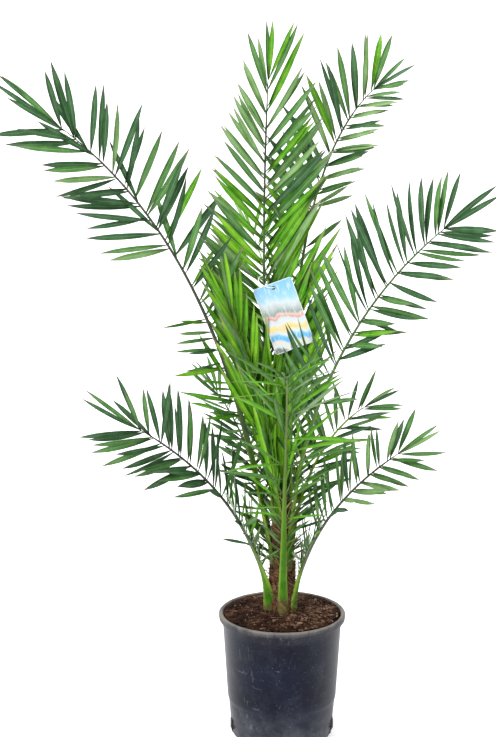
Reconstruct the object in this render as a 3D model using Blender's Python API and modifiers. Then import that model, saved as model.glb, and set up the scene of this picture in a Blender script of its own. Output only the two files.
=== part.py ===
"""A young Canary Island date palm in its black nursery pot.

Metres, +Z up. The origin is the centre of the pot's flat underside, and -Y is the front.
Each frond is one solid: a tapering midrib with its leaflets fused on. The fronds stand
0.3 mm clear of the trunk, and no leaflet touches another frond.
"""

import math
import random
from collections import namedtuple

import bmesh
import bpy
from mathutils import Matrix, Vector
from mathutils.bvhtree import BVHTree

CLEARANCE = 0.0003  # between solids that touch on the real plant
MERGE = 0.00005
SEED = 7

# Pot: a thin moulded shell with a rolled lip and drain slots round its lower corner.
POT_HEIGHT = 0.240
POT_LIP_RADIUS = 0.120
POT_LIP_DEPTH = 0.013
POT_TOP_RADIUS = 0.1125
POT_STEP_RADIUS = 0.1030  # just above the stacking step
POT_STEP_HEIGHT = 0.070
POT_STEP_IN = 0.0020
POT_FOOT_RADIUS = 0.0935
POT_CORNER = 0.0060  # height of the sloped lower corner
POT_WALL = 0.0022
POT_TURNS = 48
DRAIN_SLOTS = 8
DRAIN_SLOT_WIDTH = 0.014
DRAIN_SLOT_HEIGHT = 0.011

# Potting soil, heaped a little round the trunk.
SOIL_EDGE_HEIGHT = 0.231
SOIL_TOP_HEIGHT = 0.246
SOIL_TOP_RADIUS = 0.048

# Trunk: a short stem of old leaf bases.
TRUNK_HEIGHT = 0.215
TRUNK_FOOT_RADIUS = 0.0250
TRUNK_TOP_RADIUS = 0.0140
TRUNK_FLARE = 0.0030
TRUNK_RINGS = 6
TRUNK_RING_DEPTH = 0.0012
TRUNK_TURNS = 20
TRUNK_FOOT = SOIL_TOP_HEIGHT + CLEARANCE

# Midribs.
RIB_POINTS = 13
RIB_TIP_RADIUS = 0.0014
RIB_TAPER = 2.4
FOOT_SET = 0.90  # how far out a frond's foot stands, as a share of the trunk's radius
STEPS_PER_POINT = 10

# Leaflets.
LEAFLET_WIDTH = 0.098  # as a share of its length
LEAFLET_KEEL = 0.020  # depth of the folded blade, as a share of its length
LEAFLET_BROADEST = 0.38
LEAFLET_RISE = 24.0  # how far the two rows rise out of the frond's plane
LEAFLET_SPREAD = 5.0  # most that a leaflet strays from its row, in degrees
TEST_MARGIN = 0.0005

# Care label, hung from the top frond's rib by a ring.
LABEL_WIDTH = 0.074
LABEL_HEIGHT = 0.126
LABEL_THICKNESS = 0.0010
LABEL_CORNER = 0.004
LABEL_HOLE_RADIUS = 0.0035
LABEL_HOLE_DROP = 0.009  # from the top edge to the middle of the hole
LABEL_TILT = 20.0
LABEL_PITCH = 11.0  # its lower end stands forward of its top
LABEL_RING_RADIUS = 0.0185
LABEL_RING_WIRE = 0.0008
LABEL_RING_PLACE = 0.560  # along the top frond's rib
LABEL_RING_REACH = Vector((0.52, -0.68, -0.50))  # from the ring's middle to the label
LABEL_RING_SIDE = Vector((0.83, 0.56, 0.0))  # the way the ring runs through the label

# compass: the way the frond leaves the trunk, in degrees from +X towards +Y.
# height: of its foot on the trunk. lean: from upright, at its foot and its tip.
# arch: over 1 puts the bend near the tip. sweep: how far it turns sideways on its way.
# roll: how far the blade turns about its rib, at its start and its tip.
# stalk: the share of the rib with no leaflets. pairs: of leaflets.
# spread: the leaflets' angle from the rib, at the blade's start and its tip.
# leaflet: the longest one's length. ends: shares of it at the blade's start and its tip.
Frond = namedtuple(
    "Frond",
    "name compass height lean arch sweep length foot roll stalk pairs spread leaflet ends",
)
FRONDS = (
    Frond(
        "frond_top", 150, 0.165, (6.5, -3), 0.8, 0, 0.830, 0.0068,
        (-58, -58), 0.17, 21, (38, 17), 0.200, (0.9, 0.5),
    ),
    Frond(
        "frond_left", 182, 0.105, (11, 54), 1.9, 4, 0.915, 0.0080,
        (-78, -86), 0.25, 19, (52, 28), 0.150, (0.6, 0.85),
    ),
    Frond(
        "frond_right", 314, 0.095, (0, 55), 0.9, -2, 0.780, 0.0075,
        (80, 92), 0.29, 16, (54, 28), 0.142, (0.7, 0.85),
    ),
    Frond(
        "frond_right_top", 47, 0.140, (1, 62), 3.0, -3, 0.905, 0.0070,
        (40, 54), 0.48, 14, (46, 28), 0.120, (0.4, 0.88),
    ),
    Frond(
        "frond_front", 272, 0.012, (3, 72), 1.1, -4, 0.670, 0.0090,
        (10, 10), 0.36, 13, (60, 30), 0.150, (0.7, 0.7),
    ),
    Frond(
        "frond_left_low", 206, 0.010, (7, 58), 0.8, -9, 0.460, 0.0082,
        (-15, -95), 0.20, 13, (54, 28), 0.124, (0.7, 0.9),
    ),
    Frond(
        "frond_right_low", 331, 0.010, (2, 54), 0.7, 19, 0.380, 0.0078,
        (15, 75), 0.20, 11, (56, 28), 0.112, (0.7, 0.75),
    ),
    Frond(
        "frond_right_back", 44, 0.045, (0, 70), 1.3, -10, 0.395, 0.0072,
        (20, 45), 0.24, 11, (56, 28), 0.105, (0.7, 0.8),
    ),
    Frond(
        "frond_young", 232, 0.190, (6, 22), 1.0, -58, 0.400, 0.0062,
        (-60, -60), 0.20, 11, (28, 10), 0.150, (0.8, 0.8),
    ),
    Frond(
        "frond_back_left", 128, 0.030, (5, 50), 1.3, 8, 0.410, 0.0080,
        (-20, -20), 0.26, 11, (56, 28), 0.105, (0.7, 0.75),
    ),
    Frond(
        "frond_back", 92, 0.020, (4, 70), 1.3, -6, 0.600, 0.0082,
        (6, 6), 0.28, 13, (56, 28), 0.140, (0.7, 0.75),
    ),
    Frond(
        "frond_back_high", 82, 0.110, (8, 46), 1.4, 34, 0.640, 0.0072,
        (-14, -14), 0.28, 14, (52, 26), 0.150, (0.7, 0.7),
    ),
)
# A stretch of one frond whose lower row of leaflets has gone.
BARE_FROND = "frond_left"
BARE_SIDE = -1
BARE_STRETCH = (0.42, 0.665)
YOUNG_FRONDS = ("frond_top", "frond_young")
FROND_GREEN = (0.060, 0.190, 0.035, 1.0)
YOUNG_GREEN = (0.150, 0.360, 0.030, 1.0)


def ramp(value, low, high):
    return min(max((value - low) / (high - low), 0.0), 1.0)


def clear_scene():
    for obj in list(bpy.data.objects):
        bpy.data.objects.remove(obj, do_unlink=True)


def new_collection(name, shown=True):
    made = bpy.data.collections.new(name)
    bpy.context.scene.collection.children.link(made)
    made.hide_render = not shown
    return made


def material(name, colour, roughness, metallic=0.0):
    made = bpy.data.materials.new(name)
    made.use_nodes = True
    shader = made.node_tree.nodes["Principled BSDF"]
    shader.inputs["Base Color"].default_value = colour
    shader.inputs["Roughness"].default_value = roughness
    shader.inputs["Metallic"].default_value = metallic
    return made


def mesh_object(name, mesh, collection, finish=None):
    obj = bpy.data.objects.new(name, mesh)
    collection.objects.link(obj)
    if finish:
        mesh.materials.append(finish)
    return obj


def from_bmesh(bm, name):
    mesh = bpy.data.meshes.new(name)
    bm.to_mesh(mesh)
    bm.free()
    return mesh


def apply_modifiers(obj):
    """Gives the object its evaluated mesh and drops its modifiers."""
    bpy.context.view_layer.update()
    graph = bpy.context.evaluated_depsgraph_get()
    mesh = bpy.data.meshes.new_from_object(obj.evaluated_get(graph), depsgraph=graph)
    obj.modifiers.clear()
    obj.data = mesh


def mesh_from_curve(obj, collection, finish=None):
    """A mesh object in the curve's place, with its end caps welded on."""
    bpy.context.view_layer.update()
    graph = bpy.context.evaluated_depsgraph_get()
    mesh = bpy.data.meshes.new_from_object(obj.evaluated_get(graph), depsgraph=graph)
    bm = bmesh.new()
    bm.from_mesh(mesh)
    bmesh.ops.remove_doubles(bm, verts=bm.verts, dist=MERGE)
    bm.to_mesh(mesh)
    bm.free()
    name, place = obj.name, obj.matrix_world.copy()
    bpy.data.objects.remove(obj, do_unlink=True)
    mesh.materials.clear()
    made = mesh_object(name, mesh, collection, finish)
    made.matrix_world = place
    return made


def boolean(obj, operation, target):
    """Joins or cuts obj with an object or with all of a collection."""
    modifier = obj.modifiers.new(operation.title(), "BOOLEAN")
    modifier.operation = operation
    modifier.solver = "EXACT"
    if isinstance(target, bpy.types.Collection):
        modifier.operand_type = "COLLECTION"
        modifier.collection = target
    else:
        modifier.object = target
    return modifier


def turned(name, profile, turns, collection, finish=None):
    """A solid of revolution. The profile's (radius, height) points run down its outer side."""
    mesh = bpy.data.meshes.new(name)
    points = [(radius, 0.0, height) for radius, height in profile]
    mesh.from_pydata(points, [(i, i + 1) for i in range(len(points) - 1)], [])
    obj = mesh_object(name, mesh, collection, finish)
    screw = obj.modifiers.new("Turn", "SCREW")
    screw.steps = turns
    screw.render_steps = turns
    screw.use_merge_vertices = True
    screw.merge_threshold = MERGE
    apply_modifiers(obj)
    obj.data.shade_smooth()
    obj.data.set_sharp_from_angle(angle=math.radians(30))
    return obj


# ---- pot and soil


def pot_outline():
    """The pot's outer side from its lip down to its foot, as (radius, height)."""
    lip_bottom = POT_HEIGHT - POT_LIP_DEPTH
    return [
        (POT_LIP_RADIUS - 0.0025, POT_HEIGHT),
        (POT_LIP_RADIUS, POT_HEIGHT - 0.0025),
        (POT_LIP_RADIUS - 0.0005, lip_bottom),
        (POT_TOP_RADIUS, lip_bottom - 0.0015),
        (POT_STEP_RADIUS, POT_STEP_HEIGHT + 0.004),
        (POT_STEP_RADIUS - POT_STEP_IN, POT_STEP_HEIGHT),
        (POT_FOOT_RADIUS + 0.002, POT_CORNER),
        (POT_FOOT_RADIUS, 0.0),
    ]


def cavity_outline(gap):
    """The pot's inside from its floor up to its brim, drawn in by a gap."""
    step_radius = POT_STEP_RADIUS - POT_WALL - gap
    return [
        (POT_FOOT_RADIUS + 0.002 - POT_WALL - gap, POT_WALL + gap),
        (step_radius - POT_STEP_IN, POT_STEP_HEIGHT),
        (step_radius, POT_STEP_HEIGHT + 0.004),
        (POT_TOP_RADIUS - POT_WALL - gap, POT_HEIGHT - POT_LIP_DEPTH),
    ]


def drain_slot_cutters(collection):
    for i in range(DRAIN_SLOTS):
        angle = 2 * math.pi * i / DRAIN_SLOTS
        bm = bmesh.new()
        bmesh.ops.create_cube(bm, size=1.0)
        size = Matrix.Diagonal((0.012, DRAIN_SLOT_WIDTH, DRAIN_SLOT_HEIGHT, 1.0))
        place = Matrix.Translation((POT_FOOT_RADIUS, 0, DRAIN_SLOT_HEIGHT / 2 - 0.0008))
        bm.transform(Matrix.Rotation(angle, 4, "Z") @ place @ size)
        cutter = mesh_object(f"drain_slot_{i}", from_bmesh(bm, "drain_slot"), collection)
        cutter.hide_render = True
        cutter.display_type = "WIRE"


def build_pot(parts, cutters):
    brim = [(POT_LIP_RADIUS - 0.0075, POT_HEIGHT)]
    outline = [(0.0, POT_WALL)] + cavity_outline(0.0) + brim + pot_outline() + [(0.0, 0.0)]
    finish = material("black_plastic", (0.030, 0.034, 0.044, 1.0), 0.45)
    pot = turned("pot", outline, POT_TURNS, parts, finish)
    slots = new_collection("drain_slots", shown=False)
    drain_slot_cutters(slots)
    boolean(pot, "DIFFERENCE", slots)
    apply_modifiers(pot)
    for cutter in list(slots.objects):
        bpy.data.objects.remove(cutter, do_unlink=True)
    return pot


def build_soil(parts):
    wall = list(reversed(cavity_outline(CLEARANCE)))
    # The edge of the soil is level with the straight wall above the cavity's last point.
    edge_radius = wall[0][0]
    slope = [(SOIL_TOP_RADIUS, SOIL_TOP_HEIGHT), (0.080, 0.241), (edge_radius, SOIL_EDGE_HEIGHT)]
    floor = [(0.0, wall[-1][1])]
    outline = [(0.0, SOIL_TOP_HEIGHT)] + slope + wall + floor
    finish = material("potting_soil", (0.075, 0.045, 0.030, 1.0), 0.95)
    return turned("soil", outline, POT_TURNS, parts, finish)


# ---- trunk


def trunk_radius(height):
    """Radius of the trunk at a height above its foot, with its flare and leaf-base rings."""
    share = ramp(height, 0.0, TRUNK_HEIGHT)
    taper = TRUNK_FOOT_RADIUS + (TRUNK_TOP_RADIUS - TRUNK_FOOT_RADIUS) * share
    return taper + TRUNK_FLARE * (1.0 - share) ** 6


def trunk_outline(gap):
    """Each ring is an old leaf base: it widens upwards and ends in a small step."""
    outline = [(0.0, TRUNK_HEIGHT + gap)]
    for ring in reversed(range(TRUNK_RINGS)):
        low = TRUNK_HEIGHT * ring / TRUNK_RINGS
        high = TRUNK_HEIGHT * (ring + 1) / TRUNK_RINGS
        outline.append((trunk_radius(high) + TRUNK_RING_DEPTH + gap, high + gap))
        outline.append((trunk_radius(low) + gap, low + 0.002 + gap))
    outline.append((trunk_radius(0.0) + gap, -gap))
    outline.append((0.0, -gap))
    return [(radius, TRUNK_FOOT + height) for radius, height in outline]


def build_trunk(parts):
    finish = material("fibrous_bark", (0.120, 0.070, 0.040, 1.0), 0.9)
    return turned("trunk", trunk_outline(0.0), TRUNK_TURNS, parts, finish)


# ---- fronds


def direction(lean, compass):
    lean, compass = math.radians(lean), math.radians(compass)
    side = math.sin(lean)
    return Vector((side * math.cos(compass), side * math.sin(compass), math.cos(lean)))


def frond_lean(frond, share):
    foot, tip = frond.lean
    return foot + (tip - foot) * share**frond.arch


def frond_path(frond):
    """Points of the midrib at even steps, from the foot to the tip."""
    out = FOOT_SET * trunk_radius(frond.height)
    turn = math.radians(frond.compass)
    foot_height = TRUNK_FOOT + max(frond.height, CLEARANCE)
    point = Vector((out * math.cos(turn), out * math.sin(turn), foot_height))
    points = [point.copy()]
    steps = (RIB_POINTS - 1) * STEPS_PER_POINT
    for i in range(steps):
        share = (i + 0.5) / steps
        way = direction(frond_lean(frond, share), frond.compass + frond.sweep * share)
        point += way * frond.length / steps
        if (i + 1) % STEPS_PER_POINT == 0:
            points.append(point.copy())
    return points


def rib_radius(frond, share):
    return RIB_TIP_RADIUS + (frond.foot - RIB_TIP_RADIUS) * (1.0 - share) ** RIB_TAPER


def rib_frame(frond, points, share):
    """Point, direction, upward normal and side of the midrib at a share of its length."""
    place = share * (RIB_POINTS - 1)
    i = min(int(place), RIB_POINTS - 2)
    point = points[i].lerp(points[i + 1], place - i)
    along = (points[i + 1] - points[i]).normalized()
    turn = math.radians(frond.compass + frond.sweep * share)
    side = Vector((math.sin(turn), -math.cos(turn), 0.0))
    normal = side.cross(along).normalized()
    side = along.cross(normal)
    # The rib turns on the way up the stalk, and the blade from its start to its tip.
    start, end = frond.roll
    rolled = start * ramp(share, 0.05, 0.25) + (end - start) * ramp(share, 0.35, 0.90)
    roll = Matrix.Rotation(math.radians(rolled), 3, along)
    return point, along, roll @ normal, roll @ side


def build_rib(frond, points, collection):
    """The stalk and midrib: a curve that thins from the foot to the tip."""
    curve = bpy.data.curves.new(frond.name, "CURVE")
    curve.dimensions = "3D"
    curve.bevel_depth = frond.foot
    curve.bevel_resolution = 1
    curve.use_fill_caps = True
    spline = curve.splines.new("POLY")
    spline.points.add(RIB_POINTS - 1)
    for i, knot in enumerate(spline.points):
        knot.co = (*points[i], 1.0)
        knot.radius = rib_radius(frond, i / (RIB_POINTS - 1)) / frond.foot
    obj = bpy.data.objects.new(frond.name, curve)
    collection.objects.link(obj)
    colour = YOUNG_GREEN if frond.name in YOUNG_FRONDS else FROND_GREEN
    finish = material(frond.name + "_green", colour, 0.45)
    return mesh_from_curve(obj, collection, finish)


def leaflet_mesh():
    """A folded blade, 1 long and 1 wide and 1 deep: two three-sided points, base to base."""
    bm = bmesh.new()
    bmesh.ops.create_cone(
        bm, segments=3, radius1=1.0, radius2=0.0, depth=1.0 - LEAFLET_BROADEST, cap_ends=True
    )
    base = min(bm.faces, key=lambda face: face.calc_center_median().z)
    poked = bmesh.ops.poke(bm, faces=[base])
    poked["verts"][0].co.z -= LEAFLET_BROADEST
    corners = [v for v in bm.verts if math.hypot(v.co.x, v.co.y) > 0.5]
    corners.sort(key=lambda v: v.co.y)
    keel = max(corners, key=lambda v: abs(v.co.y))
    edges = [v for v in corners if v is not keel]
    keel.co.x, keel.co.y = 0.0, -1.0
    for sign, vert in zip((-1, 1), sorted(edges, key=lambda v: v.co.x)):
        vert.co.x, vert.co.y = sign * 0.5, 0.0
    root = min(v.co.z for v in bm.verts)
    bm.transform(Matrix.Translation((0, 0, -root)))
    bmesh.ops.recalc_face_normals(bm, faces=bm.faces)
    return from_bmesh(bm, "leaflet")


def leaflet_length(frond, share):
    """Longest a third of the way up the blade, shorter towards both its ends."""
    start, end = frond.ends
    rise = math.sin(math.pi / 2 * ramp(share, 0.0, 0.3))
    fall = ramp(share, 0.3, 1.0) ** 1.4
    return frond.leaflet * (start + (1 - start) * rise) * (1 - (1 - end) * fall)


def leaflet_spots(frond, points, chance):
    """Yields root, direction, normal and length of each leaflet, row by row up the rib."""
    start, end = frond.spread
    for pair in range(frond.pairs + 1):
        place = pair / frond.pairs
        share = frond.stalk + (0.985 - frond.stalk) * place
        spread = start + (end - start) * place**3
        for side in (-1, 1):
            shift = 0.25 * side / frond.pairs * (1.0 - frond.stalk)
            at = min(max(share + shift, frond.stalk), 0.99)
            if frond.name == BARE_FROND and side == BARE_SIDE and BARE_STRETCH[0] < at < BARE_STRETCH[1]:
                continue
            point, along, normal, across = rib_frame(frond, points, at)
            angle = math.radians(spread + chance.uniform(-1, 1) * LEAFLET_SPREAD)
            rise = math.radians(LEAFLET_RISE + chance.uniform(-1, 1) * LEAFLET_SPREAD)
            outward = across * side * math.cos(rise) + normal * math.sin(rise)
            way = along * math.cos(angle) + outward * math.sin(angle)
            length = leaflet_length(frond, place) * chance.uniform(0.92, 1.06)
            root = point - way * rib_radius(frond, at) * 1.3
            yield root, way, normal, length


def leaflet_matrix(root, way, normal, length, margin=0.0):
    width_way = way.cross(normal).normalized()
    up = width_way.cross(way)
    turn = Matrix((width_way, up, way)).transposed().to_4x4()
    width = LEAFLET_WIDTH * length + 2 * margin
    keel = LEAFLET_KEEL * length + 2 * margin
    size = Matrix.Diagonal((width, keel, length + margin, 1.0))
    return Matrix.Translation(root + up * margin) @ turn @ size


def tries(root, way, normal, length, axis):
    """The leaflet as it should be, then turned about the rib, then shorter."""
    for share in (1.0, 0.8, 0.6):
        for turn in (0, 7, -7, 14, -14, 21, -21):
            spin = Matrix.Rotation(math.radians(turn), 3, axis)
            yield root, spin @ way, spin @ normal, length * share


class Obstacles:
    """Triangles that a leaflet has to stay clear of."""

    def __init__(self):
        self.points = []
        self.faces = []

    def add(self, points, faces):
        first = len(self.points)
        self.points += points
        self.faces += [tuple(first + i for i in face) for face in faces]

    def add_object(self, obj):
        points = [obj.matrix_world @ v.co for v in obj.data.vertices]
        self.add(points, [tuple(face.vertices) for face in obj.data.polygons])

    def tree(self):
        return BVHTree.FromPolygons(self.points, self.faces)


def grow_leaflets(frond, points, blade, collection, obstacles):
    """Adds a leaflet object for each spot that is clear of the rest of the plant."""
    chance = random.Random(f"{SEED}{frond.name}")
    others = obstacles.tree()
    outline = [v.co.copy() for v in blade.vertices]
    faces = [tuple(face.vertices) for face in blade.polygons]
    grown = Obstacles()
    for root, way, normal, length in leaflet_spots(frond, points, chance):
        axis = way.cross(normal).cross(normal).normalized()
        for attempt in tries(root, way, normal, length, axis):
            tested = leaflet_matrix(*attempt, margin=TEST_MARGIN)
            swollen = [tested @ co for co in outline]
            if others.overlap(BVHTree.FromPolygons(swollen, faces)):
                continue
            leaf = bpy.data.objects.new("leaflet", blade)
            leaf.matrix_world = leaflet_matrix(*attempt)
            collection.objects.link(leaf)
            grown.add(swollen, faces)
            break
    return grown


def join_frond(rib, leaflets, trunk_cutter):
    """Fuses the leaflets to the rib and seats its foot on the trunk."""
    boolean(rib, "UNION", leaflets)
    boolean(rib, "DIFFERENCE", trunk_cutter)
    apply_modifiers(rib)
    for leaf in list(leaflets.objects):
        bpy.data.objects.remove(leaf, do_unlink=True)


# ---- care label


def label_places():
    """Middle of the ring and of the label's hole."""
    frond = FRONDS[0]
    point, along, _, _ = rib_frame(frond, frond_path(frond), LABEL_RING_PLACE)
    reach = LABEL_RING_REACH.normalized()
    side = (LABEL_RING_SIDE - LABEL_RING_SIDE.dot(reach) * reach).normalized()
    # Across a slanted ring, the rib takes up more room than its own radius.
    slant = along.cross(reach).length
    rib_room = (rib_radius(frond, LABEL_RING_PLACE) * 1.1 + CLEARANCE) / slant
    middle = point + reach * (LABEL_RING_RADIUS - rib_room - LABEL_RING_WIRE)
    return middle, reach, side, middle + reach * LABEL_RING_RADIUS


def build_ring(parts):
    middle, reach, side, _ = label_places()
    bpy.ops.mesh.primitive_torus_add(
        major_radius=LABEL_RING_RADIUS, minor_radius=LABEL_RING_WIRE, major_segments=28, minor_segments=6
    )
    ring = bpy.context.object
    ring.name = "label_ring"
    ring.data.materials.append(material("clear_plastic", (0.80, 0.82, 0.82, 1.0), 0.2))
    turn = Matrix((reach, side, reach.cross(side))).transposed()
    ring.data.transform(Matrix.Translation(middle) @ turn.to_4x4())
    for collection in list(ring.users_collection):
        collection.objects.unlink(ring)
    parts.objects.link(ring)
    return ring


def rounded_rectangle(width, height, corner, steps=4):
    """Points round a rectangle with round corners, counter-clockwise."""
    points = []
    for quarter in range(4):
        across = (width / 2 - corner) * (1 if quarter in (0, 3) else -1)
        up = (height / 2 - corner) * (1 if quarter in (0, 1) else -1)
        for step in range(steps + 1):
            angle = math.pi / 2 * (quarter + step / steps)
            points.append((across + corner * math.cos(angle), up + corner * math.sin(angle)))
    return points


def circle(radius, centre, steps=16):
    turns = [2 * math.pi * i / steps for i in range(steps)]
    return [(centre[0] + radius * math.cos(a), centre[1] + radius * math.sin(a)) for a in turns]


def build_label(parts):
    """A flat card with round corners, hung by a hole near its top edge."""
    curve = bpy.data.curves.new("label_card", "CURVE")
    curve.dimensions = "2D"
    curve.fill_mode = "BOTH"
    curve.extrude = LABEL_THICKNESS / 2
    hole = (0.0, LABEL_HEIGHT / 2 - LABEL_HOLE_DROP)
    card = rounded_rectangle(LABEL_WIDTH, LABEL_HEIGHT, LABEL_CORNER)
    for outline in (card, circle(LABEL_HOLE_RADIUS, hole)):
        spline = curve.splines.new("POLY")
        spline.points.add(len(outline) - 1)
        for knot, (x, y) in zip(spline.points, outline):
            knot.co = (x, y, 0.0, 1.0)
        spline.use_cyclic_u = True
    obj = bpy.data.objects.new("label_card", curve)
    parts.objects.link(obj)
    card = mesh_from_curve(obj, parts, material("printed_card", (0.62, 0.76, 0.84, 1.0), 0.35))
    upright = Matrix.Rotation(math.radians(90), 4, "X")
    tilt = Matrix.Rotation(math.radians(-LABEL_TILT), 4, "Y")
    pitch = Matrix.Rotation(math.radians(-LABEL_PITCH), 4, "X")
    _, _, _, hole_place = label_places()
    hang = Matrix.Translation((0.0, -hole[1], 0.0))
    card.data.transform(Matrix.Translation(hole_place) @ pitch @ tilt @ upright @ hang)
    return card


def main():
    clear_scene()
    parts = new_collection("date_palm")
    cutters = new_collection("cutters", shown=False)
    obstacles = Obstacles()
    for obj in (
        build_pot(parts, cutters),
        build_soil(parts),
        build_trunk(parts),
        build_ring(parts),
        build_label(parts),
    ):
        obstacles.add_object(obj)
    trunk_cutter = turned("trunk_cutter", trunk_outline(CLEARANCE), TRUNK_TURNS, cutters)
    trunk_cutter.hide_render = True
    trunk_cutter.display_type = "WIRE"

    paths = {frond.name: frond_path(frond) for frond in FRONDS}
    ribs = {frond.name: build_rib(frond, paths[frond.name], parts) for frond in FRONDS}
    blade = leaflet_mesh()
    grown = {}
    for frond in FRONDS:
        around = Obstacles()
        around.add(obstacles.points, obstacles.faces)
        for name, rib in ribs.items():
            if name != frond.name:
                around.add_object(rib)
        for other in grown.values():
            around.add(other.points, other.faces)
        leaflets = new_collection(frond.name + "_leaflets")
        grown[frond.name] = grow_leaflets(frond, paths[frond.name], blade, leaflets, around)
        join_frond(ribs[frond.name], leaflets, trunk_cutter)
        bpy.data.collections.remove(leaflets)


main()
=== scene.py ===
"""Finishes for a young Canary Island date palm in its black nursery pot.

Metres, +Z up; -Y is the front. The fronds grow by the same rule as the solid part's,
carried on to finer leaflets. Everything rides on the one body of the part.
Colours are linear red, green and blue.
"""

import math
import random
from collections import Counter, namedtuple

import bmesh
import bpy
import numpy as np
from mathutils import Matrix, Vector, noise
from mathutils.bvhtree import BVHTree


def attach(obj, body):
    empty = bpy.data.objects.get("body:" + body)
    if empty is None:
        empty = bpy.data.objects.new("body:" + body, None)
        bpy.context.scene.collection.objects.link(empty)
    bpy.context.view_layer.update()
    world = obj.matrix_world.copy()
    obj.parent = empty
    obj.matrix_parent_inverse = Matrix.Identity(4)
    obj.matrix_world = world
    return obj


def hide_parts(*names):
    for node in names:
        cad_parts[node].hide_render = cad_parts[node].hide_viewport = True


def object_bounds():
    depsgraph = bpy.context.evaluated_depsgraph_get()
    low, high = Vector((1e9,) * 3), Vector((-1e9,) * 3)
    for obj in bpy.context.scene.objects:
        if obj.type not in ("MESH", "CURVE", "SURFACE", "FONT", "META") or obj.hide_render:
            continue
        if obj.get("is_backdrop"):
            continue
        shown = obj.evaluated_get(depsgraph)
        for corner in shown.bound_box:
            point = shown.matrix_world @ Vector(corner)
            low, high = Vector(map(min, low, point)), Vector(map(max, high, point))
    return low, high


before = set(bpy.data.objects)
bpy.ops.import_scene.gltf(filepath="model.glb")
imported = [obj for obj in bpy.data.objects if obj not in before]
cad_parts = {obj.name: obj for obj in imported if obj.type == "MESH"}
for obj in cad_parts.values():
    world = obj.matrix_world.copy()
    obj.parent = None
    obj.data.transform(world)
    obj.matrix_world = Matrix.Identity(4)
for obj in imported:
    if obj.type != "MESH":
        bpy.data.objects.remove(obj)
cad_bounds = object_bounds()

SEED = 11

# ---- measures, the solid part's own unless a comment says otherwise

POT_HEIGHT = 0.240
POT_LIP_RADIUS = 0.120
POT_LIP_DEPTH = 0.013
POT_TOP_RADIUS = 0.1125
POT_STEP_RADIUS = 0.1030
POT_STEP_HEIGHT = 0.070
POT_STEP_IN = 0.0020
POT_FOOT_RADIUS = 0.0935
POT_CORNER = 0.0060
POT_WALL = 0.0016  # thinner than the solid part's
DRAIN_SLOTS = 8
DRAIN_SLOT_WIDTH = 0.014
DRAIN_SLOT_HEIGHT = 0.011

SOIL_EDGE_HEIGHT = 0.2390  # higher up the wall than the solid part's
SOIL_TOP_HEIGHT = 0.246
SOIL_TOP_RADIUS = 0.048

TRUNK_HEIGHT = 0.215
TRUNK_FOOT_RADIUS = 0.0250
TRUNK_TOP_RADIUS = 0.0140
TRUNK_FLARE = 0.0030
TRUNK_FOOT = SOIL_TOP_HEIGHT + 0.0003
FOOT_SET = 0.90  # how far out a frond's foot stands, as a share of the trunk's radius

LABEL_WIDTH = 0.074
LABEL_HEIGHT = 0.126
LABEL_THICKNESS = 0.0008  # thinner than the solid part's
LABEL_CORNER = 0.004
LABEL_HOLE_RADIUS = 0.0035
LABEL_HOLE_DROP = 0.009  # from the top edge to the middle of the hole
LABEL_TILT = 20.0
LABEL_PITCH = 11.0  # its lower end stands forward of its top
LABEL_RING_RADIUS = 0.0185
LABEL_RING_WIRE = 0.0008
LABEL_RING_PLACE = 0.560  # along the top frond's rib
LABEL_RING_REACH = Vector((0.52, -0.68, -0.50))  # from the ring's middle to the card
LABEL_RING_SIDE = Vector((0.83, 0.56, 0.0))  # the way the ring runs through the card

# compass and sweep turn from +X towards +Y; lean is from upright; roll is about the rib
Frond = namedtuple(
    "Frond",
    "name compass height lean arch sweep length foot roll stalk pairs spread leaflet ends",
)
FRONDS = (
    Frond(
        "frond_top", 150, 0.165, (6.5, -3), 0.8, 0, 0.830, 0.0068,
        (-58, -58), 0.17, 21, (38, 17), 0.200, (0.9, 0.5),
    ),
    Frond(
        "frond_left", 182, 0.105, (11, 54), 1.9, 4, 0.915, 0.0080,
        (-78, -86), 0.25, 19, (52, 28), 0.150, (0.6, 0.85),
    ),
    Frond(
        "frond_right", 314, 0.095, (0, 55), 0.9, -2, 0.780, 0.0075,
        (80, 92), 0.29, 16, (54, 28), 0.142, (0.7, 0.85),
    ),
    Frond(
        "frond_right_top", 47, 0.140, (1, 62), 3.0, -3, 0.905, 0.0070,
        (40, 54), 0.48, 14, (46, 28), 0.120, (0.4, 0.88),
    ),
    Frond(
        "frond_front", 272, 0.012, (3, 72), 1.1, -4, 0.670, 0.0090,
        (10, 10), 0.36, 13, (60, 30), 0.150, (0.7, 0.7),
    ),
    Frond(
        "frond_left_low", 206, 0.010, (7, 58), 0.8, -9, 0.460, 0.0082,
        (-15, -95), 0.20, 13, (54, 28), 0.124, (0.7, 0.9),
    ),
    Frond(
        "frond_right_low", 331, 0.010, (2, 54), 0.7, 19, 0.380, 0.0078,
        (15, 75), 0.20, 11, (56, 28), 0.112, (0.7, 0.75),
    ),
    Frond(
        "frond_right_back", 44, 0.045, (0, 70), 1.3, -10, 0.395, 0.0072,
        (20, 45), 0.24, 11, (56, 28), 0.105, (0.7, 0.8),
    ),
    Frond(
        "frond_young", 232, 0.190, (6, 22), 1.0, -58, 0.400, 0.0062,
        (-60, -60), 0.20, 11, (28, 10), 0.150, (0.8, 0.8),
    ),
    Frond(
        "frond_back_left", 128, 0.030, (5, 50), 1.3, 8, 0.410, 0.0080,
        (-20, -20), 0.26, 11, (56, 28), 0.105, (0.7, 0.75),
    ),
    Frond(
        "frond_back", 92, 0.020, (4, 70), 1.3, -6, 0.600, 0.0082,
        (6, 6), 0.28, 13, (56, 28), 0.140, (0.7, 0.75),
    ),
    Frond(
        "frond_back_high", 82, 0.110, (8, 46), 1.4, 34, 0.640, 0.0072,
        (-14, -14), 0.28, 14, (52, 26), 0.150, (0.7, 0.7),
    ),
)
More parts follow.
